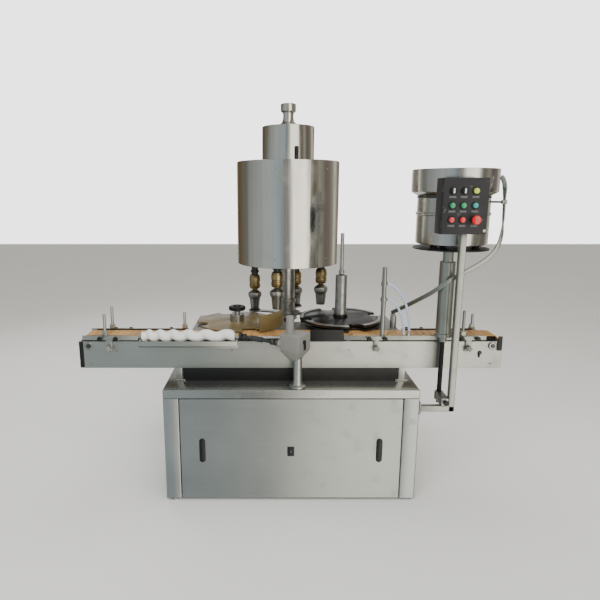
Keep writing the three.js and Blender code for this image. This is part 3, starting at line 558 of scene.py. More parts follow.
def build_conveyor():
    low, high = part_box("conveyor_front_plate")
    back_low, back_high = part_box("conveyor_back_plate")
    half = high.x
    plate_low = 0.72
    plate_high = high.z
    axle = joint_place("drive_spin")
    for name, node, face, inner, side in (
        ("near_side_plate", "conveyor_front_plate", axle.y - PLATE_FACE, axle.y - 0.072, -1),
        ("far_side_plate", "conveyor_back_plate", axle.y + PLATE_FACE, axle.y + 0.072, 1),
    ):
        plate = Piece(name)
        y0, y1 = sorted((face, inner))
        plate.block((-half, y0, plate_low), (half, y1, plate_high), 0.0018)
        for x in (-0.615, 0.615):
            foot_y = sorted((face - side * 0.034, face - side * 0.001))
            plate.block((x - 0.018, foot_y[0], 0.65), (x + 0.018, foot_y[1], 0.724), 0.002)
            base_y = sorted((face - side * 0.05, face))
            plate.block((x - 0.034, base_y[0], SEAT), (x + 0.034, base_y[1], 0.653), 0.002)
        plate.done("plate", "root", "satin_steel", node)
    # A black sheet closes the gap under the near side plate: it hides the see-through, and its black paints
    # the deep shade in that gap.
    gap_shade = Piece("gap_shade_sheet")
    gap_shade.block((-0.592, axle.y - 0.0725, 0.6458), (0.592, axle.y - 0.0665, 0.7395), 0.001)
    gap_shade.done("black", "root", "black_plastic")
    screws = Piece("plate_screws")
    for x in [-1.1, -0.95, -0.32, 0.32, 0.95, 1.1]:
        for z in ((0.745, 0.83) if abs(x) > 1 else (0.821,)):
            screws.bolt((x, axle.y - PLATE_FACE, z), (0, -1, 0), 0.0055)
            screws.bolt((x, axle.y + PLATE_FACE, z), (0, 1, 0), 0.0055)
    screws.done("turned", "root", "satin_steel")

    bearings = Piece("end_bearings")
    for x in (-axle.x, axle.x):
        for side in (-1, 1):
            at = (x, axle.y + side * 0.0803, axle.z)
            bearings.turned([(0.0128, 0), (0.0225, 0), (0.0225, 0.005), (0.018, 0.009), (0.0128, 0.009),
                             (0.0128, 0)], at, (0, side, 0), 32)
    bearings.done("turned", "root", "dark_steel")
    end_cap = Piece("end_tensioner")
    end_cap.block((1.128, axle.y - 0.0865, 0.821), (1.152, axle.y - 0.0803, 0.902), 0.002)
    end_cap.block((-1.155, axle.y - 0.0812, 0.725), (-1.132, axle.y - 0.0803, 0.87), 0.0003)
    end_cap.done("black", "root", "dark_steel")
    latch = Piece("plate_latch")
    latch.turned([(0, 0.006), (0.008, 0.006), (0.01, 0.004), (0.012, 0)], (1.035, axle.y - 0.0802, 0.808),
                 (0, -1, 0))
    latch.block((1.028, axle.y - 0.088, 0.782), (1.036, axle.y - 0.082, 0.808), 0.0025, 0.0)
    latch.done("dark", "root", "dark_steel")

    chain_low, chain_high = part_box("conveyor_chain")
    chain = Piece("slat_chain")
    radius = 0.0497
    length = 2 * (2 * axle.x + math.pi * radius)
    count = round(length / 0.0381)
    pitch = length / count
    slat = Piece("slat")
    slat.block((-pitch / 2 + 0.0007, chain_low.y + 0.0006, -0.0022),
               (pitch / 2 - 0.0007, chain_high.y - 0.0006, 0.0022), 0.0008)
    one = bpy.data.meshes.new("one_slat")
    slat.mesh.to_mesh(one)
    slat.mesh.free()
    for index in range(count):
        at, heading = chain_point(index * pitch, axle.x, radius, axle.z)
        part = bmesh.new()
        part.from_mesh(one)
        chain.blend_in(part, Matrix.Translation(at) @ Matrix.Rotation(heading, 4, "Y"))
    bpy.data.meshes.remove(one)
    chain.done("slats", "root", "tan_chain", "conveyor_chain")

    bed_low, bed_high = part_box("chain_bed")
    bed = Piece("wear_strips")
    for y in (-0.04, 0.0, 0.04):
        bed.block((bed_low.x, axle.y + y - 0.011, 0.881), (bed_high.x, axle.y + y + 0.011, bed_high.z), 0.001)
    for x in (-0.95, -0.32, 0.32, 0.95):
        bed.block((x - 0.012, axle.y - 0.05, 0.834), (x + 0.012, axle.y + 0.05, 0.882), 0.001)
        bed.block((x - 0.012, bed_low.y, 0.806), (x + 0.012, bed_high.y, 0.836), 0.002)
    bed.done("white", "root", "white_plastic", "chain_bed")

    for name, node, body, x in (("idler_wheel", "idler_sprocket", "idler_shaft", -axle.x),
                                ("drive_wheel", "drive_sprocket", "drive_shaft", axle.x)):
        wheel = Piece(name)
        wheel.bar((x, axle.y - 0.0935, axle.z), (x, axle.y + 0.0935, axle.z), 0.012)
        for tooth in range(12):
            angle = (tooth + 0.5) * FULL_TURN / 12
            part = bmesh.new()
            bmesh.ops.create_cone(part, cap_ends=True, segments=8, radius1=0.009, radius2=0.009, depth=0.056)
            spot = Matrix.Translation((x + 0.036 * math.cos(angle), axle.y, axle.z + 0.036 * math.sin(angle)))
            wheel.blend_in(part, spot @ Matrix.Rotation(math.pi / 2, 4, "X"))
        wheel.turned([(0.012, -0.03), (0.036, -0.03), (0.038, -0.027), (0.038, 0.027), (0.036, 0.03),
                      (0.012, 0.03), (0.012, -0.03)], (x, axle.y, axle.z), (0, 1, 0))
        wheel.done("dark", body, "dark_steel", node)


def star_knob(piece, at, side, radius=0.017, length=0.022):
    """A five-lobed clamp knob on the end of its neck."""
    piece.bar(at, Vector(at) + Vector((0, side * length * 0.5, 0)), radius * 0.5)
    hub = Vector(at) + Vector((0, side * length * 0.45, 0))
    piece.turned([(0, length * 0.6), (radius * 0.5, length * 0.6), (radius * 0.72, length * 0.45),
                  (radius * 0.72, 0), (0, 0)], hub, (0, side, 0), 24)
    for lobe in range(5):
        angle = lobe * FULL_TURN / 5
        shift = Vector((math.cos(angle), 0, math.sin(angle))) * radius * 0.68
        piece.turned([(0, length * 0.5), (radius * 0.22, length * 0.5), (radius * 0.32, length * 0.4),
                      (radius * 0.32, 0.002), (0, 0)], hub + shift, (0, side, 0), 12)


def build_guides():
    axle = joint_place("drive_spin")
    sides = (
        ("infeed_front", -1, (-0.99,), ((-1.009, 1.025),)),
        ("infeed_back", 1, (-0.96, -0.64), ((-1.013, 1.03), (-0.6, 1.0))),
        ("outfeed_front", -1, (0.466, 0.968), ((0.936, 1.045),)),
        ("outfeed_back", 1, (0.72, 1.0), ((1.043, 0.99),)),
    )
    knobs = Piece("guide_knobs")
    stars = Piece("height_knobs")
    clips = Piece("brass_clips")
    for name, side, brackets, rods in sides:
        low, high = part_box(name + "_guide")
        x0, x1 = low.x, high.x
        rail = Piece(name + "_rail")
        strip = sorted((axle.y + side * 0.0735, axle.y + side * 0.0805))
        rail.block((x0, strip[0], 0.8785), (x1, strip[1], 0.9045), 0.0022)
        for x in brackets:
            plate_y = sorted((axle.y + side * 0.0806, axle.y + side * 0.088))
            rail.block((x - 0.016, plate_y[0], 0.818), (x + 0.016, plate_y[1], 0.904), 0.0015)
            cross_y = sorted((axle.y + side * 0.0806, axle.y + side * 0.092))
            rail.block((x - 0.052, cross_y[0], 0.882), (x + 0.052, cross_y[1], 0.902), 0.0015)
            for knob_x in (x - 0.043, x + 0.043):
                spot = Vector((knob_x, axle.y + side * 0.0915, 0.892))
                knobs.turned([(0, 0.0222), (0.009, 0.0222), (0.0125, 0.019), (0.013, 0.008), (0.009, 0.004),
                              (0.007, 0)], spot, (0, side, 0), 24)
            star_knob(stars, (x, axle.y + side * 0.088, 0.836), side)
        for x, top in rods:
            foot = Vector((x, axle.y + side * 0.077, 0.884))
            rail.turned([(0, 0), (0.008, 0), (0.008, top - foot.z - 0.005), (0.005, top - foot.z),
                         (0, top - foot.z)], foot)
            rail.block((x - 0.014, foot.y - 0.012, 0.905), (x + 0.014, foot.y + 0.012, 0.93), 0.003)
        if name == "outfeed_front":
            y = axle.y - 0.077
            rail.turned([(0, 0.885), (0.0125, 0.885), (0.0125, 1.278), (0.0105, 1.28), (0, 1.28)],
                        (0.497, y, 0))
            for z in (1.096, 1.181):
                rail.turned([(0.0125, z), (0.0165, z), (0.017, z + 0.001), (0.017, z + 0.019),
                             (0.0165, z + 0.02), (0.0125, z + 0.02)], (0.497, y, 0))
            rail.turned([(0, 0.905), (0.011, 0.905), (0.011, 0.921), (0.008, 0.923), (0.008, 0.928),
                         (0, 0.928)], (0.64, y, 0), steps=6)
        rail.done("tube" if name == "outfeed_front" else "plate", "root", "bright_steel", name + "_guide")
    for x in (0.338, 0.534, 0.724):
        clips.block((x - 0.014, axle.y - 0.0815, 0.9045), (x + 0.014, axle.y - 0.0725, 0.912), 0.0015)
        clips.bar((x, axle.y - 0.077, 0.911), (x, axle.y - 0.077, 0.921), 0.006)
    knobs.done("black", "root", "black_plastic")
    stars.done("cast", "root", "cast_grey")
    clips.done("brass", "root", "brass")

    pads = Piece("guide_pads_and_shadow_block")
    for x0, x1 in ((-1.1, -0.59), (0.65, 1.04)):
        pads.block((x0, axle.y + 0.0665, 0.8985), (x1, axle.y + 0.0733, 0.9045), 0.001)
    # This black block in front of the near plate, under the outfeed star, paints the shadow beneath the star
    # wheel; the two strips above are real guide pads.
    pads.block((0.106, axle.y - 0.0875, 0.8725), (0.287, axle.y - 0.0805, 0.938), 0.002)
    pads.done("black", "root", "black_plastic")
    lane_guide = Piece("infeed_lane_rail")
    lane_guide.block((-1.1, axle.y - 0.0725, 0.8985), (-0.84, axle.y - 0.066, 0.9045), 0.001)
    lane_guide.done("brass", "root", "brass")

    for name, route, fittings in (
        ("upper_air_tube", [(0.5185, -0.372, 1.191), (0.545, -0.373, 1.181), (0.585, -0.377, 1.146),
                            (0.616, -0.379, 1.085), (0.634, -0.379, 1.02), (0.642, -0.377, 0.965),
                            (0.642, -0.372, 0.945), (0.642, -0.372, 0.931)], "air_hose_upper"),
        ("lower_air_tube", [(0.5185, -0.372, 1.106), (0.532, -0.369, 1.104), (0.56, -0.364, 1.09),
                            (0.583, -0.363, 1.052), (0.604, -0.363, 1.005), (0.615, -0.363, 0.955),
                            (0.616, -0.364, 0.925), (0.616, -0.365, 0.907)], "air_hose_lower"),
    ):
        tube = Piece(name)
        tube.swept(route, 0.0066)
        tube.done("hose", "root", "pale_tube", fittings)


# ------------------------------------------------------------------ feed screw and its drive
def build_feed_screw():
    low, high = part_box("feed_screw")
    y, z = centre("feed_screw").y, centre("feed_screw").z
    start, end = -0.796, -0.302
    first, growth = 0.053, 1.17
    rings, around_count = 260, 48
    part = bmesh.new()
    bmesh.ops.create_grid(part, x_segments=rings, y_segments=around_count, size=0.5)
    for vert in part.verts:
        x = start + (vert.co.x + 0.5) * (end - start)
        angle = (vert.co.y + 0.5) * FULL_TURN
        turns = math.log(1 + (x - start) * (growth - 1) / first) / math.log(growth)
        phase = (turns - angle / FULL_TURN) % 1.0
        groove = 0.5 + 0.5 * math.cos(FULL_TURN * phase)
        ends = min(1.0, (x - start) / 0.012, (end - x) / 0.012)
        radius = 0.0345 - 0.0135 * groove ** 1.4 - 0.006 * (1 - ends)
        vert.co = Vector((x, y + radius * math.cos(angle), z + radius * math.sin(angle)))
    bmesh.ops.remove_doubles(part, verts=part.verts, dist=1e-6)
    open_edges = [edge for edge in part.edges if edge.is_boundary]
    bmesh.ops.holes_fill(part, edges=open_edges, sides=0)
    bmesh.ops.recalc_face_normals(part, faces=part.faces)
    screw = Piece("timing_screw")
    screw.blend_in(part)
    screw.done("white", "screw", "white_plastic", "feed_screw")
    journals = Piece("screw_journals")
    journals.bar((low.x, y, z), (start + 0.002, y, z), 0.008)
    journals.bar((end - 0.002, y, z), (high.x, y, z), 0.008)
    journals.done("turned", "screw", "dark_steel")

    bed_low, bed_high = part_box("screw_bed")
    bed = Piece("screw_tray")
    bed.block((bed_low.x, bed_low.y, 0.863), (bed_high.x, y + 0.034, 0.869), 0.001)
    bed.block((bed_low.x, bed_low.y, 0.863), (bed_high.x, bed_low.y + 0.005, 0.895), 0.0015)
    bed.block((bed_low.x, y + 0.034, bed_low.z), (bed_high.x, y + 0.039, 0.869), 0.001)
    for x0 in (bed_low.x, bed_high.x - 0.011):
        bed.block((x0, y - 0.026, 0.866), (x0 + 0.011, y + 0.034, 0.899), 0.0015)
        bed.turned([(0.009, 0), (0.016, 0), (0.016, 0.011), (0.009, 0.011), (0.009, 0)], (x0, y, z),
                   (1, 0, 0), 24)
    bed.done("plate", "root", "bright_steel", "screw_bed")

    start_point = joint_place("cardan_spin")
    axis = Vector(next(j["axis"] for j in frame["joints"] if j["name"] == "cardan_spin")).normalized()
    reach = 0.2096
    shaft = Piece("universal_joint_shaft")
    shaft.bar(start_point + axis * 0.02, start_point + axis * (reach - 0.02), 0.0095)
    shaft.turned([(0.0095, 0.06), (0.0145, 0.062), (0.0145, 0.13), (0.0095, 0.132)], start_point, axis)
    for spot, way in ((start_point, 1), (start_point + axis * reach, -1)):
        shaft.turned([(0, 0), (0.0165, 0), (0.017, 0.001), (0.017, 0.012), (0.014, 0.014), (0, 0.014)], spot,
                     axis * way)
        shaft.turned([(0, 0.022), (0.0155, 0.022), (0.0165, 0.024), (0.0165, 0.036), (0.012, 0.04),
                      (0, 0.04)], spot, axis * way)
        cross = spot + axis * way * 0.018
        aside = axis.cross(Vector((0, 0, 1))).normalized()
        upward = aside.cross(axis)
        for pin in (aside, upward):
            shaft.bar(cross - pin * 0.0155, cross + pin * 0.0155, 0.0038)
    shaft.done("dark", "cardan", "dark_steel", "cardan_shaft")

    x, y = 0.02, -0.462
    turn = math.radians(-36.8)
    box = Piece("screw_drive_box")
    box.block((x - 0.059, y - 0.059, 0.852), (x + 0.059, y + 0.059, 0.944), 0.005, turn)
    part = bmesh.new()
    bmesh.ops.create_cone(part, cap_ends=True, segments=4, radius1=0.036, radius2=0.059 * math.sqrt(2),
                          depth=0.054)
    ease_edges(part, part.edges[:], 0.004, 3)
    box.blend_in(part, Matrix.Translation((x, y, 0.826)) @ Matrix.Rotation(turn + math.pi / 4, 4, "Z"))
    box.turned([(0, 0.944), (0.026, 0.944), (0.026, 0.949), (0.021, 0.951), (0.021, 1.033), (0.019, 1.035),
                (0, 1.035)], (x - 0.028, y, 0))
    outlet = start_point + axis * (reach + 0.0022)
    box.bar(outlet, outlet + axis * 0.04, 0.02)
    box.done("cast", "root", "cast_grey", "screw_gearbox")
    column = Piece("drive_column")
    column.turned([(0, SEAT), (0.043, SEAT), (0.045, 0.6475), (0.045, 0.656), (0.03, 0.66), (0.026, 0.668),
                   (0.0235, 0.69), (0.0235, 0.806), (0, 0.806)], (x + 0.015, y, 0))
    column.done("plate", "root", "cast_grey")
    lever = Piece("drive_lever")
    face = Matrix.Translation((x, y, 0)) @ Matrix.Rotation(turn, 4, "Z")
    outward = (face.to_3x3() @ Vector((1, 0, 0))).normalized()
    lever.turned([(0, 0.006), (0.009, 0.006), (0.011, 0.004), (0.011, 0)],
                 face @ Vector((0.0595, -0.006, 0.905)), outward)
    lever.slab((0.007, 0.012, 0.05), 0.0025, face @ Matrix.Translation((0.0665, -0.006, 0.888)))
    lever.done("black", "root", "black_plastic")
    foot_bolts = Piece("column_bolts")
    for step in range(4):
        foot_bolts.bolt(around((x + 0.015, y), 0.036, (step + 0.5) * FULL_TURN / 4, 0.6545), (0, 0, 1), 0.005)
    foot_bolts.done("turned", "root", "cast_grey")


# ------------------------------------------------------------------ star wheels
def star_outline(middle, radius, phase, pitch_radius=0.225, pocket_radius=0.044, steps=14):
    """A four-pocket wheel: round pockets cut into a round rim."""
    mouth = math.acos((radius ** 2 + pitch_radius ** 2 - pocket_radius ** 2) / (2 * radius * pitch_radius))
    half = math.atan2(radius * math.sin(mouth), radius * math.cos(mouth) - pitch_radius)
    points = []
    for index in range(4):
        facing = phase + index * FULL_TURN / 4
        pocket = around(middle, pitch_radius, facing, 0)
        sweep = FULL_TURN - 2 * half
        for step in range(steps + 1):
            angle = facing - half - sweep * step / steps
            points.append(around(pocket, pocket_radius, angle, 0))
        rim = FULL_TURN / 4 - 2 * mouth
        points += [around(middle, radius, facing + mouth + rim * step / steps, 0) for step in range(1, steps)]
    return [(point.x, point.y) for point in points]


def build_stars():
    infeed, outfeed = joint_place("infeed_spin"), joint_place("outfeed_spin")
    low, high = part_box("infeed_star")
    wheel = Piece("amber_star")
    wheel.outline(star_outline(infeed, (high.x - low.x) / 2, math.radians(21.2)), PLATE_LOW, PLATE_HIGH)
    wheel.done("laminate", "infeed_wheel", "phenolic", "infeed_star")
    hub = Piece("amber_star_hub")
    hub.turned([(0, 0.914), (0.0425, 0.914), (0.0425, 0.931), (0.0425, 0.94), (0.0425, 0.952),
                (0.04, 0.955), (0.0175, 0.955), (0.0165, 0.957), (0.0165, 0.978), (0, 0.978)],
               (infeed.x, infeed.y, 0), steps=48)
    for step in range(4):
        spot = around(infeed, 0.031, step * FULL_TURN / 4, 0.9545)
        hub.bolt(spot, (0, 0, 1), 0.004)
    hub.done("turned", "infeed_wheel", "phenolic")
    knob = Piece("star_clamp_knob")
    knob.turned([(0, 0.979), (0.044, 0.979), (0.05, 0.984), (0.05, 0.998), (0.045, 1.003), (0.024, 1.004),
                 (0.0215, 1.008), (0.019, 1.01), (0, 1.01)], (infeed.x, infeed.y, 0))
    for step in range(10):
        lobe = around(infeed, 0.0452, step * FULL_TURN / 10, 0.9815)
        knob.bar(lobe, (lobe.x, lobe.y, 1.0), 0.0046, 12)
    knob.done("black", "star_knob", "black_plastic", "infeed_knob")

    phase = math.radians(14.8)
    plates = Piece("black_star")
    plates.outline(star_outline(outfeed, 0.2395, phase), PLATE_LOW, PLATE_HIGH)
    plates.outline(star_outline(outfeed, 0.2435, phase), 0.9245, 0.9375)
    plates.turned([(0, 0.913), (0.04, 0.913), (0.0425, 0.925), (0.0425, 0.951), (0.039, 0.955), (0, 0.955)],
                  (outfeed.x, outfeed.y, 0))
    plates.done("disc", "outfeed_wheel", "black_plastic", "outfeed_star")
    rim = Piece("star_rim")
    inner, outer = 0.2215, 0.2432
    mouth = math.acos((outer ** 2 + 0.225 ** 2 - 0.0455 ** 2) / (2 * outer * 0.225))
    for index in range(4):
        start = phase + index * FULL_TURN / 4 + mouth + 0.012
        sweep = FULL_TURN / 4 - 2 * mouth - 0.024
        steps = 24
        arc = [start + sweep * step / steps for step in range(steps + 1)]
        loop = [around(outfeed, outer, angle, 0) for angle in arc]
        loop += [around(outfeed, inner, angle, 0) for angle in reversed(arc)]
        rim.outline([(point.x, point.y) for point in loop], 0.9372, 0.9418)
    rim.done("plate", "outfeed_wheel", "black_plastic")

    post = Piece("cap_guide_post")
    at = (outfeed.x, outfeed.y, 0)
    post.turned([(0, 0.9555), (0.0365, 0.9555), (0.0375, 0.957), (0.0375, 0.973), (0.034, 0.985),
                 (0.034, 1.188), (0.031, 1.19), (0.0145, 1.194), (0.011, 1.197), (0.011, 1.432),
                 (0.009, 1.436), (0, 1.436)], at)
    post.done("turned", "outfeed_wheel", "satin_steel", "outfeed_post")
    collars = Piece("post_collars")
    collars.turned([(0.011, 1.2), (0.0165, 1.2), (0.017, 1.202), (0.017, 1.216), (0.0165, 1.218),
                    (0.011, 1.218)], at)
    collars.done("turned", "outfeed_wheel", "satin_steel")

    deck_low, deck_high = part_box("deck_plate")
    turret = joint_place("turret_spin")
    deck = Piece("deck")
    edge = 0.279
    front_y, back_y = -0.211, 0.15
    touch = math.sqrt(edge ** 2 - (turret.y - back_y) ** 2)
    first = math.atan2(back_y - turret.y, -touch)
    last = math.atan2(back_y - turret.y, touch)
    curve = [around(turret, edge, first + (last - first) * step / 40, 0) for step in range(41)]
    outline = [(deck_low.x, back_y), (deck_low.x, front_y), (deck_high.x, front_y), (deck_high.x, back_y)]
    outline += [(point.x, point.y) for point in reversed(curve)]
    deck.outline(outline, 0.885, 0.893, 0.001)
    for x, y in ((-0.53, -0.17), (-0.53, 0.12), (0.53, -0.17), (0.53, 0.12)):
        deck.turned([(0, SEAT), (0.026, SEAT), (0.026, 0.65), (0.014, 0.653), (0.014, 0.885), (0, 0.885)],
                    (x, y, 0), steps=24)
    deck.turned([(0, 0.893), (0.018, 0.893), (0.018, 0.963), (0.0165, 0.966), (0, 0.966)], (0.604, -0.165, 0))
    deck.done("plate", "root", "satin_steel", "deck_plate")
    guide = Piece("bottle_guide")
    arc = [math.radians(-60 + 46 * step / 24) for step in range(25)]
    loop = [around(infeed, 0.2712, angle, 0) for angle in arc]
    loop += [around(infeed, 0.2808, angle, 0) for angle in reversed(arc)]
    guide.outline([(point.x, point.y) for point in loop], 0.9032, 0.9998)
    guide.done("laminate", "root", "phenolic")
    pins = Piece("guide_pins")
    for angle in (-26, -17):
        foot = around(infeed, 0.276, math.radians(angle), 0.893)
        pins.bar(foot, (foot.x, foot.y, 0.905), 0.0044)
    pins.done("turned", "root", "satin_steel")

    for node in ("infeed_gear", "outfeed_gear"):
        finish_node(node, "dark")


# ------------------------------------------------------------------ turret and head
def build_turret():
    turret = joint_place("turret_spin")
    at = (turret.x, turret.y, 0)
    finish_node("spindle_carrier", "dark")
    column = Piece("turret_sleeve")
    column.turned([(0.0315, 0.5305), (0.08, 0.5305), (0.08, 0.534), (0.05, 0.536), (0.05, 1.598),
                   (0.048, 1.6), (0.0315, 1.6), (0.0315, 0.5305)], at, steps=64)
    for z in (0.965, 1.19):
        column.turned([(0.05, z), (0.0585, z), (0.0595, z + 0.001), (0.0595, z + 0.02), (0.0585, z + 0.021),
                       (0.05, z + 0.021)], at, steps=64)
    teeth = 24
    first_tooth = math.radians(226.62)
    rim = []
    for step in range(teeth * 4):
        angle = first_tooth + (step // 4 + (-0.3, -0.16, 0.16, 0.3)[step % 4]) * FULL_TURN / teeth
        rim.append(around(turret, (0.211, 0.234, 0.234, 0.211)[step % 4], angle, 0))
    column.outline([(point.x, point.y) for point in rim], 0.5, 0.516)
    column.turned([(0.0315, 0.5162), (0.08, 0.5162), (0.08, 0.5305), (0.0315, 0.5305), (0.0315, 0.5162)], at)
    column.done("turned", "turret", "satin_steel", "turret_column")

    spider = Piece("bottle_pads")
    spider.turned([(0.0515, 0.85), (0.066, 0.85), (0.066, 0.88), (0.0855, 0.8805), (0.086, 0.882),
                   (0.086, 0.894), (0.085, 0.895), (0.0515, 0.895), (0.0515, 0.85)], at, steps=64)
    pads = Piece("pad_faces")
    spindles = []
    for index in range(4):
        low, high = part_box(f"spindle_{index + 1}")
        spot = (low + high) / 2
        angle = math.atan2(spot.y - turret.y, spot.x - turret.x)
        arm = around(turret, 0.15, angle, 0.8875)
        spider.slab((0.16, 0.044, 0.011), 0.002, Matrix.Translation(arm) @ Matrix.Rotation(angle, 4, "Z"), 2)
        spider.turned([(0, 0.882), (0.041, 0.882), (0.042, 0.883), (0.042, 0.891), (0.041, 0.892),
                       (0, 0.892)], (spot.x, spot.y, 0))
        pads.turned([(0, 0.8922), (0.037, 0.8922), (0.038, 0.8935), (0.036, 0.895), (0.03, 0.8948),
                     (0, 0.8948)], (spot.x, spot.y, 0))
        spindles.append((index + 1, spot.x, spot.y, low.z))
    spider.done("turned", "turret", "satin_steel", "bottle_spider")
    pads.done("rubber", "turret", "satin_steel")

    low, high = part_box("drum_cover")
    radius = (high.x - low.x) / 2
    drum = Piece("drum")
    drum.turned([(radius - 0.004, low.z), (radius - 0.0015, low.z), (radius, low.z + 0.0015),
                 (radius, high.z - 0.005), (radius - 0.0015, high.z - 0.0015), (radius - 0.005, high.z),
                 (0.034, high.z), (0.034, high.z - 0.004), (radius - 0.006, high.z - 0.004),
                 (radius - 0.004, high.z - 0.006), (radius - 0.004, low.z)], at, steps=128)
    drum.done("bright", "head", "bright_steel", "drum_cover")
    seam = Piece("drum_seam")
    angle = math.radians(112)
    spot = around(turret, radius + 0.0002, angle)
    seam.block((spot.x - 0.001, spot.y - 0.0006, low.z + 0.004),
               (spot.x + 0.001, spot.y + 0.0006, high.z - 0.006), 0.0003, angle)
    for z in (low.z + 0.05, high.z - 0.05):
        for step in range(6):
            facing = (step + 0.25) * FULL_TURN / 6
            seam.bolt(around(turret, radius - 0.0005, facing, z),
                      Vector((math.cos(facing), math.sin(facing), 0)), 0.004)
    seam.done("turned", "head", "bright_steel")

    low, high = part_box("upper_cover")
    radius = (high.x - low.x) / 2
    upper = Piece("upper_drum")
    upper.turned([(radius - 0.004, low.z + 0.0002), (radius, low.z + 0.0002), (radius, high.z - 0.004),
                  (radius - 0.0012, high.z - 0.0012), (radius - 0.004, high.z), (0.034, high.z),
                  (0.034, high.z - 0.004), (radius - 0.004, high.z - 0.004),
                  (radius - 0.004, low.z + 0.0002)], at, steps=96)
    upper.done("bright", "head", "bright_steel", "upper_cover")
    latch = Piece("cover_latch")
    facing = math.radians(-90 + 16)
    spot = around(turret, radius + 0.0045, facing, 1.897)
    latch.block(spot - Vector((0.012, 0.005, 0.04)), spot + Vector((0.012, 0.004, 0.04)), 0.004,
                facing + math.pi / 2)
    grip = around(turret, radius + 0.011, facing, 1.91)
    latch.block(grip - Vector((0.007, 0.004, 0.024)), grip + Vector((0.007, 0.004, 0.024)), 0.003,
                facing + math.pi / 2)
    latch.done("black", "head", "black_plastic")

    low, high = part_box("top_cap")
    base = low.z
    cap = Piece("top_piece")
    cap.turned([(0, base), (0.06, base), (0.061, base + 0.001), (0.061, base + 0.009),
                (0.058, base + 0.014), (0.046, base + 0.021), (0.038, base + 0.03), (0.034, base + 0.042),
                (0.0325, base + 0.055), (0.0325, base + 0.076), (0.036, base + 0.083),
                (0.0445, base + 0.088), (0.047, base + 0.091), (0.047, high.z - 0.004),
                (0.0455, high.z - 0.0015), (0.043, high.z), (0, high.z)], at, steps=64)
    cap.done("bright", "head", "bright_steel", "top_cap")

    for number, x, y, bottom in spindles:
        place = (x, y, bottom)
        rod = Piece(f"spindle_rod_{number}")
        rod.turned([(0, 0.1), (0.022, 0.1), (0.022, 0.527), (0.021, 0.528), (0, 0.528)], place, steps=32)
        rod.turned([(0.022, 0.115), (0.0275, 0.115), (0.028, 0.116), (0.028, 0.127), (0.0275, 0.128),
                    (0.022, 0.128)], place, steps=32)
        rod.done("dark", f"spindle_{number}_body", "dark_steel", f"spindle_{number}")
        clutch = Piece(f"brass_clutch_{number}")
        clutch.turned([(0, 0), (0.0165, 0), (0.017, 0.001), (0.017, 0.0045), (0.028, 0.0055),
                       (0.031, 0.009), (0.033, 0.0115), (0.036, 0.0185), (0.036, 0.04), (0.0335, 0.042),
                       (0.0325, 0.045), (0.0325, 0.05), (0.036, 0.053), (0.036, 0.08), (0.0345, 0.0835),
                       (0.031, 0.096), (0.026, 0.1), (0, 0.1)], place, steps=40)
        for step in range(3):
            facing = step * FULL_TURN / 3 + 0.5
            clutch.bolt(around((x, y), 0.0352, facing, bottom + 0.066), (math.cos(facing), math.sin(facing),
                                                                         0), 0.0035)
        clutch.done("brass", f"spindle_{number}_body", "brass")
        low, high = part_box(f"chuck_{number}")
        chuck = Piece(f"capping_chuck_{number}")
        chuck.turned([(0, 0.025), (0.021, 0.025), (0.022, 0.02), (0.022, 0.001), (0.0235, 0), (0.0275, 0),
                      (0.0285, 0.0015), (0.03, 0.02), (0.033, 0.05), (0.035, 0.07), (0.036, 0.074),
                      (0.0405, 0.081), (0.0425, 0.086), (0.0425, 0.109), (0.041, 0.1125), (0.033, 0.118),
                      (0.026, 0.124), (0.016, 0.13), (0.014, 0.1315), (0, 0.1315)], (x, y, low.z), steps=40)
        for step in range(12):
            facing = step * FULL_TURN / 12
            foot = around((x, y), 0.0418, facing, low.z + 0.088)
            chuck.bar(foot, foot + Vector((0, 0, 0.019)), 0.0022, 8, 0.0004)
        chuck.done("turned", f"chuck_{number}_body", "bright_steel", f"chuck_{number}")


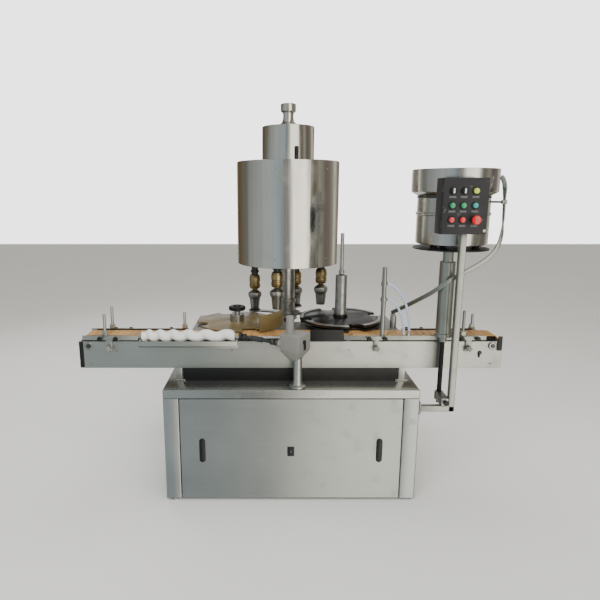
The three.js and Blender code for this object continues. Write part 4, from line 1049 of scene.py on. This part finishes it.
# ------------------------------------------------------------------ cap sorter
def build_sorter():
    axis = joint_place("bowl_swing")
    low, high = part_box("sorter_stand")
    x, y = STAND
    rod = Piece("stand_rod")
    rod.bar((x, y, low.z), (x, y, 0.89), 0.0125)
    rod.done("black", "sorter", "satin_steel")
    stand = Piece("stand_tube")
    stand.turned([(0, 0.8805), (0.02, 0.8805), (0.021, 0.882), (0.021, 0.908), (0.044, 0.9085),
                  (0.045, 0.91), (0.045, 0.928), (0.0405, 0.93), (0.0405, 1.311), (0.039, 1.313),
                  (0.0275, 1.314), (0.0275, high.z - 0.007), (0, high.z - 0.007)], (x, y, 0), steps=64)
    stand.done("tube", "sorter", "satin_steel", "sorter_stand")
    shelf = Piece("bowl_shelf")
    shelf.turned([(0, high.z - 0.006), (0.2, high.z - 0.006), (0.201, high.z - 0.005),
                  (0.201, high.z - 0.001), (0.2, high.z), (0, high.z)], (axis.x, axis.y, 0), steps=96)
    shelf.done("dark", "sorter", "satin_steel")
    feet = Piece("rubber_mounts")
    base_low, base_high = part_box("bowl_base")
    for step in range(3):
        spot = around(axis, 0.13, math.radians(90 + 120 * step), 0)
        feet.turned([(0, base_low.z), (0.022, base_low.z), (0.0225, base_low.z + 0.002),
                     (0.018, base_low.z + 0.007), (0.018, base_low.z + 0.014), (0.0225, 1.3935),
                     (0, 1.3935)], (spot.x, spot.y, 0))
    feet.done("rubber", "sorter", "black_plastic")
    base = Piece("vibrator_housing")
    top = base_high.z
    base.turned([(0.06, 1.394), (0.181, 1.394), (0.186, 1.397), (0.188, 1.402), (0.188, 1.547),
                 (0.1925, 1.549), (0.194, 1.551), (0.194, 1.56), (0.1925, 1.562), (0.188, 1.564),
                 (0.188, top - 0.0015), (0.1865, top), (0, top), (0, top - 0.006), (0.182, top - 0.006),
                 (0.182, 1.402), (0.06, 1.402), (0.06, 1.394)], (axis.x, axis.y, 0), steps=112)
    base.done("bowl", "sorter", "bright_steel", "bowl_base")
    drive = Piece("vibrator_core")
    drive.turned([(0, 1.3965), (0.055, 1.3965), (0.058, 1.4), (0.058, 1.5), (0.12, 1.505), (0.12, 1.52),
                  (0, 1.52)], (axis.x, axis.y, 0))
    drive.done("cast", "sorter", "bright_steel")

    shell, rim = base_high.z + 0.0003, 1.787
    bowl = Piece("feeder_bowl")
    bowl.turned([(0, shell), (0.186, shell), (0.19, shell + 0.0015), (0.2205, shell + 0.019),
                 (0.223, shell + 0.024), (0.223, rim - 0.006), (0.2225, rim - 0.001), (0.221, rim),
                 (0.2195, rim - 0.001), (0.219, rim - 0.006), (0.219, shell + 0.027),
                 (0.184, shell + 0.008), (0.09, shell + 0.018), (0.03, shell + 0.031), (0, shell + 0.034)],
                (axis.x, axis.y, 0), steps=128)
    bowl.done("bowl", "bowl", "bright_steel", "sorter_bowl")
    ramp = Piece("spiral_ramp")
    part = bmesh.new()
    bmesh.ops.create_grid(part, x_segments=220, y_segments=3, size=0.5)
    turns = 1.6
    for vert in part.verts:
        along, across = vert.co.x + 0.5, vert.co.y + 0.5
        spot = around(axis, 0.2185 - 0.032 * across, -0.75 + (along - 1) * turns * FULL_TURN,
                      shell + 0.02 + 0.088 * along - 0.003 * across)
        vert.co = spot
    bmesh.ops.solidify(part, geom=part.faces[:], thickness=0.002)
    bmesh.ops.recalc_face_normals(part, faces=part.faces)
    ramp.blend_in(part)
    ramp.done("bowl", "bowl", "bright_steel")
    ring = Piece("bowl_clamp_ring")
    ring.turned([(0.188, top - 0.011), (0.1915, top - 0.01), (0.1915, top - 0.003), (0.188, top - 0.002)],
                (axis.x, axis.y, 0), steps=96)
    ring.done("dark", "sorter", "bright_steel")

    chute = Piece("cap_track")
    route = [(1.048, -0.424, 1.747), (1.056, -0.427, 1.738), (1.066, -0.43, 1.715), (1.07, -0.432, 1.68),
             (1.07, -0.4365, 1.61), (1.07, -0.4415, 1.54), (1.069, -0.4465, 1.47), (1.055, -0.452, 1.4),
             (1.02, -0.456, 1.352), (0.975, -0.459, 1.3155), (0.92, -0.459, 1.283), (0.86, -0.459, 1.249),
             (0.81, -0.459, 1.222), (0.775, -0.448, 1.189), (0.74, -0.405, 1.146), (0.69, -0.32, 1.088),
             (0.64, -0.242, 1.034), (0.593, -0.167, 0.985)]
    chute.swept(route, 0.0045, 0.0072)
    chute.done("tube", "sorter", "satin_steel", "cap_chute")
    rails = Piece("track_rails")
    for shift in (-0.0085, 0.0085):
        rails.swept([(px + 0.0001, py + shift * 0.25, pz + shift * 0.15 + 0.003) for px, py, pz in route],
                    0.0028)
    rails.done("plate", "sorter", "satin_steel")
    stay = Piece("track_stay")
    stay.bar((1.017, -0.384, 1.62), (1.066, -0.429, 1.62), 0.0055)
    stay.block((1.058, -0.445, 1.61), (1.082, -0.422, 1.63), 0.003)
    stay.block((0.585, -0.182, 0.9705), (0.615, -0.152, 0.976), 0.002)
    stay.done("turned", "sorter", "satin_steel")


# ------------------------------------------------------------------ control arm and box
def build_controls():
    low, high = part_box("control_arm")
    x, y, half = 0.85, -0.5, 0.016
    arm = Piece("square_arm")
    arm.block((low.x, -0.514, 0.506), (low.x + 0.0077, -0.457, 0.574), 0.002)
    arm.block((low.x + 0.004, y - half, 0.524), (x + half, y + half, 0.556), 0.004)
    arm.block((x - half, y - half, 0.524), (x + half, y + half, high.z), 0.004)
    arm.block((0.796, y - half + 0.004, 0.552), (0.84, -0.4165, 0.596), 0.003)
    arm.turned([(0.0145, 0), (0.0225, 0), (0.0235, 0.001), (0.0235, 0.043), (0.0225, 0.044), (0.0145, 0.044),
                (0.0145, 0)], (*STAND, 0.552))
    arm.done("tube", "root", "satin_steel", "control_arm")
    bolts = Piece("arm_bolts")
    for z in (0.515, 0.565):
        for by in (-0.505, -0.466):
            bolts.bolt((low.x + 0.0077, by, z), (1, 0, 0), 0.005)
    bolts.done("turned", "root", "satin_steel")
    clamp = Piece("stand_clamp_knob")
    stand_x = STAND[0]
    clamp.bar((stand_x, y - half + 0.004, CLAMP_HEIGHT), (stand_x, y - half - 0.004, CLAMP_HEIGHT), 0.008)
    clamp.turned([(0, 0.012), (0.01, 0.012), (0.0135, 0.009), (0.014, 0.003), (0.011, 0), (0, 0)],
                 (stand_x, y - half - 0.003, CLAMP_HEIGHT), (0, -1, 0))
    clamp.done("black", "root", "black_plastic")

    low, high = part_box("control_box")
    front = low.y + 0.004
    box = Piece("control_cabinet")
    box.block((low.x, front + 0.009, low.z), (high.x, high.y, high.z), 0.004)
    box.block((low.x + 0.001, front, low.z + 0.001), (high.x - 0.001, front + 0.0085, high.z - 0.001), 0.003)
    box.done("charcoal", "root", "charcoal", "control_box")
    hinges = Piece("door_hinges")
    for z in (low.z + 0.05, high.z - 0.05):
        hinges.bar((low.x + 0.0055, front + 0.0088, z - 0.018), (low.x + 0.0055, front + 0.0088, z + 0.018),
                   0.0042)
    hinges.turned([(0, 0.0025), (0.007, 0.0025), (0.008, 0.0015), (0.008, 0)],
                  (high.x - 0.011, front, low.z + 0.018), (0, -1, 0))
    hinges.done("turned", "root", "satin_steel")

    caps = {
        "selector_left": ("knob", "white_plastic", "left_selector"),
        "selector_right": ("knob", "white_plastic", "right_selector"),
        "indicator_lamp": ("yellow", "lamp_yellow", "root"),
        "green_button_left": ("green", "green_cap", "green_button_left_cap"),
        "green_button_right": ("green", "green_cap", "green_button_right_cap"),
        "teal_button": ("teal", "teal_cap", "teal_button_cap"),
        "rose_button": ("rose", "rose_cap", "rose_button_cap"),
        "red_button": ("red", "red_cap", "red_button_cap"),
        "emergency_stop": ("red", "red_cap", "emergency_stop_cap"),
    }
    bezels = Piece("button_bezels")
    labels = Piece("blank_labels")
    for node, (look, slot, body) in caps.items():
        at = centre(node)
        spot = Vector((at.x, front, at.z))
        bezels.turned([(0.0143, -0.004), (0.0165, -0.004), (0.018, -0.0025), (0.018, 0.0002),
                       (0.0143, 0.0002), (0.0143, -0.004)], spot, (0, 1, 0), 40)
        labels.block((at.x - 0.0165, front - 0.0008, at.z - 0.0335),
                     (at.x + 0.0165, front + 0.0004, at.z - 0.0235), 0.0004)
        cap = Piece(node + "_cap")
        if node == "emergency_stop":
            cap.turned([(0, -0.005), (0.0105, -0.005), (0.0105, 0.026), (0.0205, 0.0265), (0.0222, 0.029),
                        (0.0225, 0.032), (0.0218, 0.036), (0.0185, 0.0405), (0.012, 0.0427), (0, 0.043)],
                       (at.x, front, at.z), (0, -1, 0), 48)
        elif look == "knob":
            cap.turned([(0, -0.007), (0.0134, -0.007), (0.0134, 0.0085), (0.0122, 0.0105), (0, 0.011)],
                       (at.x, front, at.z), (0, -1, 0), 40)
            lever = Piece(node + "_lever")
            lever.block((at.x - 0.0038, front - 0.0208, at.z - 0.012),
                        (at.x + 0.0038, front - 0.0112, at.z + 0.012), 0.0022)
            lever.done("knob", body, slot)
        else:
            cap.turned([(0, -0.007), (0.0134, -0.007), (0.0134, 0.0092), (0.0128, 0.0112), (0.0105, 0.0125),
                        (0, 0.013)], (at.x, front, at.z), (0, -1, 0), 40)
        cap.done("black" if look == "knob" else look, body, slot, node)
    bezels.done("black", "root", "satin_steel")
    labels.done("label", "root", "white_plastic")


build_cabinet()
build_conveyor()
build_guides()
build_feed_screw()
build_stars()
build_turret()
build_sorter()
build_controls()


# ------------------------------------------------------------------ floor and light
def build_stage():
    part = bmesh.new()
    bmesh.ops.create_grid(part, x_segments=1, y_segments=1, size=14)
    mesh = bpy.data.meshes.new("floor")
    part.to_mesh(mesh)
    part.free()
    floor = bpy.data.objects.new("floor", mesh)
    bpy.context.scene.collection.objects.link(floor)
    look = Look("pale_floor", Roughness=0.75)
    look.put("Base Color", look.mix(look.noise(0.8, 3.0), rgb(0.86, 0.86, 0.85), rgb(0.90, 0.90, 0.89)))
    mesh.materials.append(look.material)
    floor.visible_glossy = False

    bands = [
        (0.0, (0.16, 0.155, 0.145)), (0.019, (0.10, 0.10, 0.10)), (0.058, (0.19, 0.23, 0.24)),
        (0.142, (0.21, 0.23, 0.23)), (0.242, (0.165, 0.17, 0.165)), (0.312, (0.075, 0.075, 0.065)),
        (0.41, (0.06, 0.035, 0.012)), (0.5, (0.4, 0.4, 0.4)), (0.59, (0.075, 0.06, 0.045)),
        (0.644, (0.36, 0.34, 0.28)), (0.6825, (0.11, 0.10, 0.09)), (0.744, (0.075, 0.06, 0.05)),
        (0.795, (0.165, 0.16, 0.135)), (0.83, (0.068, 0.062, 0.045)), (0.851, (0.068, 0.062, 0.045)),
        (0.879, (1.0, 0.95, 0.84)), (0.968, (1.0, 0.95, 0.84)), (0.994, (0.23, 0.22, 0.2)),
        (1.0, (0.16, 0.155, 0.145)),
    ]
    stops = [(position, rgb(*colour)) for position, colour in bands]
    world = bpy.data.worlds.new("studio")
    bpy.context.scene.world = world
    world.use_nodes = True
    world.node_tree.nodes.clear()
    sky = Graph(world.node_tree)
    facing = sky.node("ShaderNodeTexCoord")
    east = sky.node("ShaderNodeSeparateXYZ", inputs={0: facing})
    north = Value(sky, east.socket.node.outputs[1])
    bearing = east.maths("ARCTAN2", east, north)
    unit = sky.node("ShaderNodeMapRange", inputs={0: bearing, 1: -math.pi, 2: math.pi})
    room = sky.node("ShaderNodeValToRGB", {"blending": "EASE", "stops": stops}, {0: unit})
    lit = sky.node("ShaderNodeBackground", inputs={"Color": room, "Strength": ROOM_STRENGTH})
    plain = sky.node("ShaderNodeBackground", inputs={"Color": rgb(0.95, 0.95, 0.95),
                                                     "Strength": BACKDROP_STRENGTH})
    seen = sky.node("ShaderNodeLightPath")
    choice = sky.node("ShaderNodeMixShader", inputs={0: seen, 1: lit, 2: plain})
    sky.node("ShaderNodeOutputWorld", inputs={"Surface": choice})

    lamps = (
        ("key_softbox", (-1.8, -3.6, 3.8), (0, 0, 1.0), 2.2, 95),
        ("fill_softbox", (3.2, -2.8, 2.4), (0.2, 0, 1.0), 2.0, 45),
        ("top_softbox", (0.2, 0.6, 4.6), (0, 0, 0.8), 3.0, 85),
        ("rim_softbox", (-2.6, 2.6, 3.0), (0, 0, 1.2), 1.6, 40),
    )
    for name, place, target, size, power in lamps:
        data = bpy.data.lights.new(name, "AREA")
        data.size = size
        data.energy = power
        lamp = bpy.data.objects.new(name, data)
        lamp.location = place
        lamp.visible_glossy = False
        lamp.rotation_euler = (Vector(target) - Vector(place)).to_track_quat("-Z", "Y").to_euler()
        bpy.context.scene.collection.objects.link(lamp)


build_stage()
